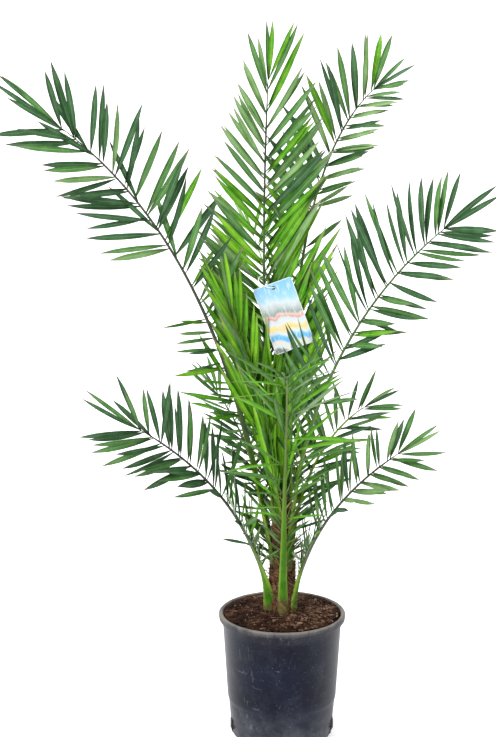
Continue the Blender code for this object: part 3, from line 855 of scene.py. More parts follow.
# shine, two drifting colours, midrib and tip, from the deepest green to the pale undersides
LEAF_SHADES = {
    "leaf_deep": (
        0.17, (0.021, 0.076, 0.024), (0.054, 0.138, 0.053),
        (0.145, 0.240, 0.120), (0.090, 0.085, 0.080),
    ),
    "leaf_mid": (
        0.12, (0.048, 0.152, 0.030), (0.104, 0.236, 0.070),
        (0.220, 0.360, 0.165), (0.155, 0.148, 0.122),
    ),
    "leaf_bright": (
        0.06, (0.050, 0.228, 0.008), (0.138, 0.362, 0.026),
        (0.300, 0.500, 0.090), (0.230, 0.255, 0.115),
    ),
    "leaf_lime": (
        0.06, (0.118, 0.375, 0.010), (0.215, 0.500, 0.030),
        (0.440, 0.660, 0.110), (0.330, 0.390, 0.140),
    ),
    "leaf_pale": (
        0.18, (0.125, 0.260, 0.070), (0.200, 0.345, 0.130),
        (0.340, 0.480, 0.240), (0.290, 0.290, 0.220),
    ),
    "leaf_under": (
        0.09, (0.052, 0.150, 0.024), (0.090, 0.205, 0.048),
        (0.200, 0.330, 0.110), (0.140, 0.140, 0.115),
    ),
    "leaf_under_young": (
        0.06, (0.066, 0.270, 0.010), (0.138, 0.375, 0.028),
        (0.290, 0.510, 0.100), (0.250, 0.290, 0.120),
    ),
    "leaf_under_pale": (
        0.16, (0.140, 0.240, 0.100), (0.215, 0.325, 0.160),
        (0.350, 0.460, 0.270), (0.300, 0.290, 0.240),
    ),
}
LEAF_MATERIALS = [leaf_finish(name, *values) for name, values in LEAF_SHADES.items()]
LEAF_MATERIALS.append(
    skin_finish("leaf_tip_dry", (0.120, 0.085, 0.045), (0.200, 0.150, 0.085), 80.0, 0.8)
)
# places in that list
UPPER_SHADES = 5
FRESH_SHADES = (2, 3)
UNDER, UNDER_YOUNG, UNDER_PALE, TIP = 5, 6, 7, 8

# a rib's sides and its upper edge, in the order that the frond's rib looks count them
RIB_SHADES = {
    "frond_rib": ((0.075, 0.130, 0.045), (0.170, 0.225, 0.120)),
    "frond_rib_dark": ((0.060, 0.068, 0.045), (0.100, 0.105, 0.080)),
    "frond_rib_fresh": ((0.150, 0.290, 0.020), (0.250, 0.390, 0.050)),
    "frond_rib_olive": ((0.060, 0.105, 0.018), (0.105, 0.160, 0.034)),
}
RIB_MATERIALS = [rib_finish(name, *values) for name, values in RIB_SHADES.items()]

# three drifting colours, the size of the drifts, the fineness of the grain and its relief
ROUGH_SHADES = {
    "fibrous_bark": (
        (0.080, 0.030, 0.014), (0.310, 0.140, 0.068), (0.010, 0.005, 0.003), 95.0, 900.0, 0.0014,
    ),
    "bark_fibre": (
        (0.210, 0.092, 0.042), (0.500, 0.340, 0.210), (0.050, 0.022, 0.012), 60.0, 900.0, 0.0002,
    ),
    "old_leaf_base": (
        (0.120, 0.050, 0.024), (0.310, 0.165, 0.085), (0.022, 0.010, 0.006), 75.0, 700.0, 0.0006,
    ),
    "damp_peat": (
        (0.017, 0.006, 0.003), (0.082, 0.036, 0.020), (0.012, 0.005, 0.003), 20.0, 700.0, 0.0022,
    ),
    "peat_crumb": (
        (0.019, 0.0075, 0.0045), (0.116, 0.054, 0.032), (0.015, 0.006, 0.004), 20.0, 800.0, 0.0008,
    ),
    "peat_crumb_light": (
        (0.055, 0.025, 0.014), (0.230, 0.126, 0.076), (0.034, 0.015, 0.009), 20.0, 800.0, 0.0008,
    ),
    "bark_chip": (
        (0.140, 0.070, 0.042), (0.360, 0.240, 0.160), (0.080, 0.040, 0.026), 60.0, 800.0, 0.0004,
    ),
}
ROUGH = {name: rough_finish(name, *values) for name, values in ROUGH_SHADES.items()}
SPINE_STRAW = skin_finish("spine_straw", (0.075, 0.130, 0.020), (0.290, 0.310, 0.100), 60.0, 0.38)
PLASTIC = pot_finish()
CARD_PRINT = label_finish()
CLEAR = plain_finish("clear_plastic", (0.88, 0.90, 0.90), 0.18, 0.5).material


# ---- the growth rule of the fronds


def ramp(value, low, high):
    return min(max((value - low) / (high - low), 0.0), 1.0)


def trunk_radius(height):
    share = ramp(height, 0.0, TRUNK_HEIGHT)
    taper = TRUNK_FOOT_RADIUS + (TRUNK_TOP_RADIUS - TRUNK_FOOT_RADIUS) * share
    return taper + TRUNK_FLARE * (1.0 - share) ** 6


def direction(lean, compass):
    """A way that leans from upright towards a compass angle, both in degrees."""
    lean, compass = math.radians(lean), math.radians(compass)
    return Vector(at_compass(math.sin(lean), compass, math.cos(lean)))


def frond_path(frond):
    """Points of the midrib at even steps, from the foot to the tip."""
    out = FOOT_SET * trunk_radius(frond.height)
    point = Vector(at_compass(out, math.radians(frond.compass), TRUNK_FOOT + frond.height))
    points = [point.copy()]
    foot, tip = frond.lean
    steps = PATH_POINTS - 1
    for i in range(steps):
        share = (i + 0.5) / steps
        lean = foot + (tip - foot) * share**frond.arch
        point += direction(lean, frond.compass + frond.sweep * share) * frond.length / steps
        points.append(point.copy())
    return points


def rib_radius(frond, share):
    taper = RIB_TAPERS.get(frond.name, RIB_TAPER)
    radius = RIB_TIP_RADIUS + (frond.foot - RIB_TIP_RADIUS) * (1.0 - share) ** taper
    return radius * (1.0 - 0.6 * ramp(share, 0.88, 1.0))


def rib_frame(frond, points, share):
    """Point, direction, upward normal and side of the midrib at a share of its length."""
    place = share * (PATH_POINTS - 1)
    i = min(max(int(place), 0), PATH_POINTS - 2)
    point = points[i].lerp(points[i + 1], place - i)
    along = (points[i + 1] - points[i]).normalized()
    turn = math.radians(frond.compass + frond.sweep * share)
    side = Vector((math.sin(turn), -math.cos(turn), 0.0))
    normal = side.cross(along).normalized()
    side = along.cross(normal)
    start, end = frond.roll
    rolled = start * ramp(share, 0.05, 0.25) + (end - start) * ramp(share, 0.35, 0.90)
    roll = Matrix.Rotation(math.radians(rolled), 3, along)
    return point, along, roll @ normal, roll @ side


# ---- midribs


def rib_blank():
    """A round bar, ringed along its length, that each midrib is drawn out of."""
    deselect()
    bpy.ops.mesh.primitive_cylinder_add(vertices=RIB_SIDES, radius=1.0, depth=1.0, location=(0, 0, 0.5))
    bar = made("rib_bar")
    ring_upright(bar, RIB_RINGS)
    return Blank(bar)


def rib_section(frond, share, angle):
    """Across and up from the rib's middle: a broad foot, a channelled stalk, a keeled rib."""
    radius = rib_radius(frond, share)
    clasp, reach = CLASPS.get(frond.name, CLASP)
    foot = 1.0 - ramp(share * frond.length, 0.0, reach)
    stalk = 1.0 - ramp(share, frond.stalk * 0.6, frond.stalk * 1.4)
    width = radius * (1.0 + 0.10 * stalk + clasp * foot * foot)
    depth = radius * (0.86 - 0.22 * foot * foot)
    x, y = math.cos(angle), math.sin(angle)
    across = width * x
    up = depth * y
    if y > 0:
        up *= 0.55
        up -= depth * 0.45 * stalk * y * math.exp(-((x / 0.45) ** 2))
    else:
        up *= 1.0 + 0.25 * (1 - stalk) * (1 - abs(x))
    return across, up


def draw_rib(frond, points, blank):
    heap = Heap()
    shaped = np.empty_like(blank.points)
    for i, (x, y, share) in enumerate(blank.points):
        share = min(max(share, 0.0), 1.0)
        angle = math.atan2(y, x)
        middle = math.hypot(x, y) < 0.1
        point, along, normal, side = rib_frame(frond, points, share)
        across, up = (0.0, 0.0) if middle else rib_section(frond, share, angle)
        if frond.name == "frond_left_low":
            left = math.radians(LEFT_TURN) * (1.0 - ramp(share, 0.0, LEFT_TURN_END))
            turn = Matrix.Rotation(left, 3, along)
            normal, side = turn @ normal, turn @ side
        if share < 1e-6:
            point = point - Vector((0, 0, HEEL_DEPTH))
        shaped[i] = point + side * across + normal * up
    look, look_from = RIB_LOOKS.get(frond.name, (0, 0.0))
    lowered = FOOT_DRIED.get(frond.name, 0.0)
    finishes, uvs = [], []
    for face in blank.faces:
        corners = blank.points[list(face)]
        middle = corners.mean(axis=0)
        finishes.append(look if middle[2] > look_from else 0)
        heading = math.atan2(middle[1], middle[0])
        for x, y, share in corners:
            turn = math.atan2(y, x) - heading
            turn = heading + (turn + math.pi) % (2 * math.pi) - math.pi
            before, after = ramp(share, 0.0, frond.stalk), ramp(share, frond.stalk, 1.0)
            uvs.append((turn / (2 * math.pi) + 0.5, max(0.5 * before + 0.5 * after - lowered, 0.0)))
    heap.add(blank, shaped, finishes, uvs)
    return heap


# ---- leaflets


def blade_outline(share):
    """Half a leaflet's width: a narrow foot, near straight sides and a short point."""
    rise = 0.25 + 0.75 * math.sin(math.pi / 2 * ramp(share, 0.0, 0.50)) ** 0.95
    taper = 1.0 - 0.06 * ramp(share, 0.55, 0.80) - 0.94 * ramp(share, 0.68, 1.0) ** 1.7
    return 0.5 * rise * max(taper, 0.04)


def blade_blank():
    """A flat blade, one long and one wide at its broadest, with its own map."""
    deselect()
    bpy.ops.mesh.primitive_grid_add(x_subdivisions=BLADE_STRIPS, y_subdivisions=BLADE_RINGS, size=1.0)
    blade = made("leaflet_blade")
    points = coordinates(blade.data)
    share = points[:, 1] + 0.5
    share = 1.0 - (1.0 - share) ** 1.12
    layer = blade.data.uv_layers.active
    for loop in blade.data.loops:
        x, _, _ = points[loop.vertex_index]
        layer.data[loop.index].uv = (x + 0.5, share[loop.vertex_index])
    width = np.array([blade_outline(s) for s in share]) * 2
    points[:, 0] *= width
    points[:, 1] = share
    set_coordinates(blade.data, points)
    return blade


def face_edges(face):
    return [tuple(sorted((face[i - 1], face[i]))) for i in range(len(face))]


class BladeBlank(Blank):
    """The blade, closed with an underside of its own that meets the top round its edge."""

    def __init__(self, blade):
        super().__init__(blade)
        uses = Counter(key for face in self.faces for key in face_edges(face))
        edge = {point for key, times in uses.items() if times == 1 for point in key}
        lower = [i for i in range(len(self.points)) if i not in edge]
        below = {i: i for i in edge}
        below.update({i: len(self.points) + place for place, i in enumerate(lower)})
        corners = len(self.faces[0])
        maps = [self.uvs[i : i + corners] for i in range(0, len(self.uvs), corners)]
        self.is_lower = np.array([False] * len(self.points) + [True] * len(lower))
        self.points = np.concatenate([self.points, self.points[lower]])
        self.under = [False] * len(self.faces) + [True] * len(self.faces)
        self.faces += [tuple(below[i] for i in reversed(face)) for face in self.faces]
        self.uvs += [spot for face_map in maps for spot in reversed(face_map)]
        self.face_share = [float(np.mean([self.points[i][1] for i in face])) for face in self.faces]


def leaflet_length(frond, share):
    start, end = frond.ends
    rise = math.sin(math.pi / 2 * ramp(share, 0.0, 0.3))
    fall = ramp(share, 0.3, 1.0) ** SHORTENINGS.get(frond.name, SHORTENING)
    return frond.leaflet * (start + (1 - start) * rise) * (1 - (1 - end) * fall)


Leaflet = namedtuple("Leaflet", "root way normal length width droop sickle twist fold")


def bend_blade(blank, leaflet):
    """Folds, bends and places one leaflet."""
    share = blank.points[:, 1]
    x = blank.points[:, 0] * leaflet.width
    y = share * leaflet.length
    fold = np.radians(leaflet.fold * (0.60 + 1.7 * np.exp(-share / 0.16)))
    z = np.abs(x) * np.sin(fold)
    x = x * np.cos(fold)
    z = z - np.where(blank.is_lower, BLADE_THICKNESS, 0.0)
    angle = np.radians(leaflet.twist) * share
    x, z = x * np.cos(angle) - z * np.sin(angle), x * np.sin(angle) + z * np.cos(angle)
    x = x + leaflet.sickle * leaflet.length * share**2
    z = z - leaflet.droop * leaflet.length * share**2.2
    way = leaflet.way
    side = way.cross(leaflet.normal).normalized()
    up = side.cross(way)
    axes = np.array([side, way, up])
    return np.array(leaflet.root) + np.stack([x, y, z], axis=1) @ axes


def leaflet_spread(frond, share, side):
    usual = (*HABITS[frond.name].spread, SPREAD_OPENS)
    low, middle, high, opens = SIDE_SPREADS.get((frond.name, side), usual)
    opened = low + (middle - low) * ramp(share, opens, opens + OPENING_LENGTH)
    return opened + (high - middle) * ramp(share, 0.50, 1.0) ** SPREAD_CLOSING


def in_gap(frond, side, at, luck):
    return any(
        side == bare_side and first < at < last and luck < share
        for bare_side, first, last, share in GAPS.get(frond.name, ())
    )


def leaflet_spots(frond, points, chance):
    """Yields place, side and leaflet, row by row up the rib, in loose twos as they grow."""
    habit = HABITS[frond.name]
    pairs = round(frond.pairs * habit.finer)
    for pair in range(pairs + 1):
        place = pair / pairs
        for side, reach in zip((-1, 1), habit.sides):
            odd = 1 if pair % 2 else -1
            shift = (LEAFLET_BUNCHING * odd + chance.uniform(-0.14, 0.14) + 0.25 * side) / pairs
            along = 1.0 - (1.0 - ramp(place + shift, 0.0, 1.0)) ** habit.crowd
            at = frond.stalk + (LEAFLETS_END - frond.stalk) * along
            missing = chance.random()
            if in_gap(frond, side, at, missing):
                continue
            stray = habit.wild * (1.0 - 0.3 * place)
            angle = leaflet_spread(frond, place, side) + chance.uniform(-stray, stray)
            if chance.random() < PRESSED.get(frond.name, 0.0):
                angle *= PRESSED_ANGLE
            tier = LEAFLET_TIERS * odd
            rise = LEAFLET_RISE + tier * (1 - place) + 1.4 * chance.uniform(-stray, stray)
            length = leaflet_length(frond, place) * reach * chance.uniform(*LEAFLET_LENGTHS)
            width = habit.width * math.sqrt(length / frond.leaflet)
            width *= chance.uniform(*LEAFLET_WIDTHS)
            width *= SIDE_WIDTHS.get((frond.name, side), 1.0)
            if frond.name not in YOUNG_FRONDS:
                width *= 0.58 + 0.42 * ramp(place, 0.0, 0.30)
            yield place, side, set_leaflet(frond, points, at, side, angle, rise, length, width, chance)
    for side in (-1, 1):
        length = leaflet_length(frond, 1.0) * chance.uniform(1.05, 1.15)
        angle = chance.uniform(2, 9)
        tip = set_leaflet(frond, points, 0.99, side, angle, 20, length, habit.width * 0.7, chance)
        yield 1.0, side, tip
    first, last, count, reach, middle = habit.beard
    stray = 4 + 0.6 * habit.wild
    for i in range(count):
        for side in (-1, 1):
            at = first + (last - first) * (i + chance.random()) / count
            length = reach * (0.50 + 0.50 * i / count) * chance.uniform(0.7, 1.1)
            angle = middle + chance.uniform(-stray, stray)
            rise = 15 + chance.uniform(-1.6, 2.0) * stray
            width = chance.uniform(0.0034, 0.0054) + 0.0026 * i / count
            yield -1.0, side, set_leaflet(frond, points, at, side, angle, rise, length, width, chance)
    if frond.name in LONE_LEAFLETS:
        at, way, length, width = LONE_LEAFLETS[frond.name]
        point, *_ = rib_frame(frond, points, at)
        yield 0.6, -1, Leaflet(
            point, way.normalized(), LONE_FACING, length, width,
            droop=0.02, sickle=0.0, twist=15, fold=BLADE_FOLD,
        )


def set_leaflet(frond, points, at, side, angle, rise, length, width, chance):
    point, along, normal, across = rib_frame(frond, points, at)
    angle, rise = math.radians(angle), math.radians(rise)
    outward = across * side * math.cos(rise) + normal * math.sin(rise)
    way = along * math.cos(angle) + outward * math.sin(angle)
    radius = rib_radius(frond, at)
    root = point + across * side * radius * 0.55 - way * radius * 0.8
    kept = kept_in_box(root, way, length)
    return Leaflet(
        root, way, normal, kept, width * math.sqrt(kept / length),
        droop=chance.uniform(0.0, 0.04 + 0.006 * HABITS[frond.name].wild),
        sickle=side * chance.uniform(-0.06, 0.03),
        twist=chance.uniform(-LEAFLET_TWIST, LEAFLET_TWIST),
        fold=BLADE_FOLD + chance.uniform(-LEAFLET_FOLD, LEAFLET_FOLD),
    )


def kept_in_box(root, way, length):
    """A leaflet's length, cut short where its tip would leave the solid part's own box."""
    for start, step, low, high in zip(root, way, *cad_bounds):
        room = (high + BOX_MARGIN - start) if step > 0 else (start - low + BOX_MARGIN)
        if abs(step) * length > room:
            length = room / abs(step)
    return length


def spun(leaflet, turn, share):
    """The same leaflet, turned about its own line in the frond's plane, and shrunk."""
    axis = leaflet.way.cross(leaflet.normal).cross(leaflet.normal).normalized()
    spin = Matrix.Rotation(math.radians(turn), 3, axis)
    return leaflet._replace(
        way=spin @ leaflet.way, normal=spin @ leaflet.normal,
        length=leaflet.length * share, width=leaflet.width * share,
    )


class Obstacles:
    """Faces that a leaflet has to stay clear of."""

    def __init__(self):
        self.points = []
        self.faces = []

    def add(self, points, faces):
        first = len(self.points)
        self.points += [Vector(point) for point in points]
        self.faces += [tuple(first + i for i in face) for face in faces]

    def tree(self):
        return BVHTree.FromPolygons(self.points, self.faces)


def leaflet_kite(leaflet):
    """A flat kite that stands in for a leaflet, to test what it meets."""
    side = leaflet.way.cross(leaflet.normal).normalized()
    middle = leaflet.root + leaflet.way * leaflet.length * 0.46
    half = side * (leaflet.width / 2 + TEST_MARGIN)
    tip = leaflet.root + leaflet.way * leaflet.length
    tip = tip - leaflet.normal * leaflet.droop * leaflet.length
    points = [leaflet.root + leaflet.way * 0.006, middle - half, middle + half, tip]
    return points, [(0, 1, 2), (1, 3, 2)]


def choose_shade(frond, chance, place, side):
    habit = HABITS[frond.name]
    foot, tip = SIDE_SHADES.get((frond.name, side), (habit.low, habit.high))
    weights = [low + (high - low) * ramp(place, 0.1, 0.7) for low, high in zip(foot, tip)]
    if place < 0:
        weights = BEARD_SHADES
    return chance.choices(range(UPPER_SHADES), weights=weights)[0]


def covers_card(leaflet, card_middle):
    """Whether a leaflet would hang in front of the upper part of the card."""
    tilt = math.radians(LABEL_TILT)
    beside, above = SIGHT_ROOM
    for step in range(1, SIGHT_STEPS + 1):
        point = leaflet.root + leaflet.way * leaflet.length * step / SIGHT_STEPS
        ahead = card_middle.y - point.y
        across, up = point.x - card_middle.x, point.z - card_middle.z - SIGHT_RISE * ahead
        along = across * math.cos(tilt) + up * math.sin(tilt)
        up = up * math.cos(tilt) - across * math.sin(tilt)
        is_level = -above < up < LABEL_HEIGHT / 2 + above
        if ahead > 0 and is_level and abs(along) < LABEL_WIDTH / 2 + beside:
            return True
    return False


def grow_leaflets(frond, points, blank, obstacles, card_middle):
    """One joined mesh of the frond's leaflets, each in its own shade of green."""
    chance = random.Random(f"{SEED}{frond.name}")
    tree = obstacles.tree()
    heap = Heap()
    grown = Obstacles()
    habit = HABITS[frond.name]
    for place, side, leaflet in leaflet_spots(frond, points, chance):
        shade = choose_shade(frond, chance, place, side)
        dry_from = DRY_FROM if chance.random() < DRY_TIPS else math.inf
        bright = frond.name in YOUNG_FRONDS or shade in FRESH_SHADES
        under_finish = UNDER_YOUNG if bright else UNDER_PALE if chance.random() < habit.under else UNDER
        for turn, share in TRIES:
            tried = spun(leaflet, turn, share)
            kite_points, kite_faces = leaflet_kite(tried)
            meets = tree.overlap(BVHTree.FromPolygons(kite_points, kite_faces))
            if meets or covers_card(tried, card_middle):
                continue
            finishes = [
                TIP if share_up > dry_from else under_finish if under else shade
                for under, share_up in zip(blank.under, blank.face_share)
            ]
            heap.add(blank, bend_blade(blank, tried), finishes)
            grown.add(kite_points, kite_faces)
            break
    return heap, grown


# ---- spines and fibres


def thorn_blank():
    """A slim five-sided spike, one long."""
    deselect()
    bpy.ops.mesh.primitive_cone_add(
        vertices=THORN_SIDES, radius1=1.0, radius2=0.06, depth=1.0, location=(0, 0, 0.5)
    )
    thorn = made("thorn")
    ring_upright(thorn, THORN_RINGS)
    return Blank(thorn)


def bent_spike(blank, root, way, bend, length, radius):
    """Points of a spike that curves towards bend."""
    way = Vector(way).normalized()
    side = way.orthogonal().normalized()
    up = way.cross(side)
    x, y, share = blank.points[:, 0], blank.points[:, 1], blank.points[:, 2]
    axes = np.array([side, up, way])
    placed = np.stack([x * radius, y * radius, share * length], axis=1) @ axes
    return np.array(root) + placed + np.outer(share**2 * length, np.array(bend))


def grow_spines(frond, points, blank):
    """Sharp straw-green spines, the lowest leaflets, along both edges of the stalk."""
    chance = random.Random(f"spines{SEED}{frond.name}")
    heap = Heap()
    count = max(3, round(frond.stalk * frond.length / SPINE_SPACING))
    low, high = SPINE_REACH
    for i in range(count):
        for side in (-1, 1):
            share = frond.stalk * (0.28 + 0.72 * (i + chance.uniform(-0.3, 1.1)) / count)
            if chance.random() < SPINES_MISSING:
                continue
            point, along, normal, across = rib_frame(frond, points, share)
            angle = math.radians(chance.uniform(22, 70))
            outward = (across * side + normal * chance.uniform(0.0, 0.7)).normalized()
            way = along * math.cos(angle) + outward * math.sin(angle)
            length = low + (high - low) * ramp(share, 0, frond.stalk) * chance.uniform(0.7, 1.1)
            root = point + across * side * rib_radius(frond, share) * 0.7
            bend = along * chance.uniform(0.0, 0.25)
            heap.add(blank, bent_spike(blank, root, way, bend, length, SPINE_RADIUS))
    return heap


def build_spears(blade):
    """Young leaves still folded shut, standing out of the heart of the palm."""
    chance = random.Random(f"spears{SEED}")
    heap = Heap()
    for i in range(SPEARS):
        lean = SPEAR_FAN * i / (SPEARS - 1) - SPEAR_FAN_RIGHT
        way = direction(abs(lean), 190 if lean > 0 else 10)
        heading = Vector((chance.uniform(-0.7, 0.7), -1.0, 0.0)).normalized()
        root = Vector((chance.uniform(-0.009, 0.009), chance.uniform(-0.010, 0.010), SPEAR_FOOT))
        leaflet = Leaflet(
            root, (way + Vector((0, chance.uniform(-0.09, 0.05), 0))).normalized(), heading,
            chance.uniform(*SPEAR_LENGTHS), chance.uniform(0.012, 0.019),
            droop=chance.uniform(-0.04, 0.05), sickle=chance.uniform(-0.05, 0.05),
            twist=chance.uniform(-40, 40), fold=chance.uniform(42, 58),
        )
        shade = chance.choice(SPEAR_SHADES)
        finishes = [UNDER_YOUNG if under else shade for under in blade.under]
        heap.add(blade, bend_blade(blade, leaflet), finishes)
    return heap.piece("crown_spears", LEAF_MATERIALS)


# ---- trunk


def bark_relief(compass, height):
    """Height of the bark above the trunk's own radius: leaf-base rings, ridges and strands."""
    turn = compass / (2 * math.pi)
    band = height / BARK_RING + turn * 2.0
    scale = band - math.floor(band)
    lip = 0.0026 * scale**2.5
    place = Vector((math.cos(compass) * 2.2, math.sin(compass) * 2.2, height * 22.0))
    lumps = 0.0026 * noise.noise(place)
    strands = Vector((math.cos(compass) * 16, math.sin(compass) * 16, height * 60.0 + turn * 9))
    return lip + lumps + 0.0022 * noise.noise(strands) - 0.0016


def build_trunk():
    """The stem under its fibres: a bar of fine rings, drawn out to the bark's relief."""
    deselect()
    bpy.ops.mesh.primitive_cylinder_add(
        vertices=TRUNK_SIDES, radius=1.0, depth=1.0, location=(0, 0, 0.5)
    )
    trunk = made("trunk_core")
    ring_upright(trunk, TRUNK_RINGS)
    points = coordinates(trunk.data)
    for point in points:
        x, y, share = point
        height = -TRUNK_SUNK + share * (TRUNK_HEIGHT + TRUNK_SUNK)
        compass = math.atan2(y, x)
        radius = trunk_radius(height) + bark_relief(compass, height)
        radius *= 1.0 - 0.5 * ramp(share, 0.97, 1.0) ** 2
        point[:] = at_compass(radius, compass, TRUNK_FOOT + height)
    set_coordinates(trunk.data, points)
    trunk.data.shade_smooth()
    trunk.data.materials.append(ROUGH["fibrous_bark"])
    return trunk


def scale_blank():
    """An old leaf base: a thick tongue, broad and hollow at its foot, ragged at its tip."""
    deselect()
    bpy.ops.mesh.primitive_grid_add(x_subdivisions=10, y_subdivisions=14, size=1.0)
    tongue = made("old_leaf_base")
    points = coordinates(tongue.data)
    for point in points:
        across, share = point[0] * 2, point[1] + 0.5
        ragged = 0.10 * noise.noise(Vector((across * 3.1, 4.0, 2.0))) + 0.05 * math.sin(across * 23)
        width = 1.0 - 0.62 * share**1.6
        point[0] = across * width
        point[1] = share * (1.0 + ragged * share)
        lumps = 0.05 * noise.noise(Vector((across * 4, share * 9, 1.0)))
        point[2] = 0.06 * (1 - across * across) + lumps
    set_coordinates(tongue.data, points)
    apply_modifier(tongue, "SOLIDIFY", thickness=0.07, offset=-1.0)
    return Blank(tongue)


def build_scales():
    """Old leaf bases wrapped up the trunk in a spiral, between the green stalks."""
    chance = random.Random(f"scales{SEED}")
    blank = scale_blank()
    heap = Heap()
    for i in range(SCALES):
        low = -TRUNK_SUNK + SCALE_CLIMB * (i / (SCALES - 1))
        compass = math.radians(i * SCALE_TURN + 20 + chance.uniform(-10, 10))
        tall = chance.uniform(*SCALE_HEIGHTS)
        half_turn = math.radians(chance.uniform(*SCALE_HALF_TURNS))
        lift = chance.uniform(*SCALE_LIFTS)
        points = np.empty_like(blank.points)
        for j, (across, share, out) in enumerate(blank.points):
            height = low + share * tall
            angle = compass + across * half_turn
            radius = trunk_radius(height) + lift * (0.4 + share) + out * SCALE_DEPTH
            points[j] = at_compass(radius, angle, TRUNK_FOOT + height)
        heap.add(blank, points)
    return heap.piece("trunk_scales", [ROUGH["old_leaf_base"]])


def build_fibres(blank):
    """Brown threads of the old leaf sheaths: some woven round the trunk, some standing out."""
    chance = random.Random(f"fibres{SEED}")
    heap = Heap()
    for _ in range(FIBRES):
        height = chance.uniform(0.0, TRUNK_HEIGHT * 0.97)
        compass = chance.uniform(0, 2 * math.pi)
        radius = trunk_radius(height) + 0.0012
        out = Vector((math.cos(compass), math.sin(compass), 0.0))
        round_way = Vector((-out.y, out.x, 0.0)) * chance.choice((-1, 1))
        if chance.random() < FIBRES_LOOSE:
            way = out * chance.uniform(0.4, 1.0) + Vector((0, 0, chance.uniform(0.2, 1.0)))
            way += round_way * chance.uniform(-0.5, 0.5)
            bend = Vector((chance.uniform(-0.3, 0.3), chance.uniform(-0.3, 0.3), -0.3))
            length = chance.uniform(*LOOSE_LENGTHS)
        else:
            way = round_way * chance.uniform(0.2, 0.8) + Vector((0, 0, 1))
            bend = -out * 0.30
            length = chance.uniform(*WOVEN_LENGTHS)
        root = out * radius + Vector((0, 0, TRUNK_FOOT + height))
        heap.add(blank, bent_spike(blank, root, way, bend, length, chance.uniform(*FIBRE_RADII)))
    return heap.piece("trunk_fibres", [ROUGH["bark_fibre"]])


# ---- soil


def soil_height(radius):
    """Level of the heaped soil at a distance from the middle."""
    share = ramp(radius, SOIL_TOP_RADIUS, POT_TOP_RADIUS - POT_WALL)
    return SOIL_TOP_HEIGHT + (SOIL_EDGE_HEIGHT - SOIL_TOP_HEIGHT) * share**1.5


def build_soil():
    """The surface as a disc of fine rings, with the plain body of soil below it."""
    deselect()
    bpy.ops.mesh.primitive_circle_add(vertices=SOIL_SIDES, radius=1.0, fill_type="NOTHING")
    soil = made("soil_bed")
    bpy.ops.object.mode_set(mode="EDIT")
    bpy.ops.mesh.select_all(action="SELECT")
    for ring in range(SOIL_RINGS, 0, -1):
        share = (ring - 1) / SOIL_RINGS
        scale = max(share, 0.01) / (ring / SOIL_RINGS)
        bpy.ops.mesh.extrude_region_move()
        bpy.ops.transform.resize(value=(scale, scale, 1.0))
    bpy.ops.mesh.edge_face_add()
    bpy.ops.object.mode_set(mode="OBJECT")
    points = coordinates(soil.data)
    wall = POT_TOP_RADIUS - POT_WALL - 0.0004
    for point in points:
        far = math.hypot(point[0], point[1]) * wall
        x, y, _ = at_compass(far, math.atan2(point[1], point[0]), 0.0)
        place = Vector((x, y, 0.3))
        rough = 0.0022 * noise.noise(place * 60) + 0.0014 * noise.noise(place * 190)
        rough += 0.0009 * noise.noise(place * 420)
        point[:] = x, y, soil_height(far) - 0.0012 + rough
    set_coordinates(soil.data, points)
    bpy.ops.object.mode_set(mode="EDIT")
    select_edges(soil, lambda edge: edge.is_boundary)
    bpy.ops.mesh.extrude_region_move(TRANSFORM_OT_translate={"value": (0, 0, -SOIL_DEPTH)})
    bpy.ops.mesh.edge_face_add()
    bpy.ops.object.mode_set(mode="OBJECT")
    clean(soil)
    soil.data.shade_smooth()
    soil.data.materials.append(ROUGH["damp_peat"])
    return soil


def crumb_blank(seed):
    """A rough, slightly flattened lump of potting mix."""
    deselect()
    bpy.ops.mesh.primitive_ico_sphere_add(subdivisions=2, radius=1.0)
    lump = made("crumb")
    points = coordinates(lump.data)
    for point in points:
        place = Vector(point) * 1.3 + Vector((seed * 7.3, 0, 0))
        point *= 1.0 + 0.75 * noise.noise(place)
    points[:, 2] *= CRUMB_FLATNESS
    set_coordinates(lump.data, points)
    return Blank(lump)


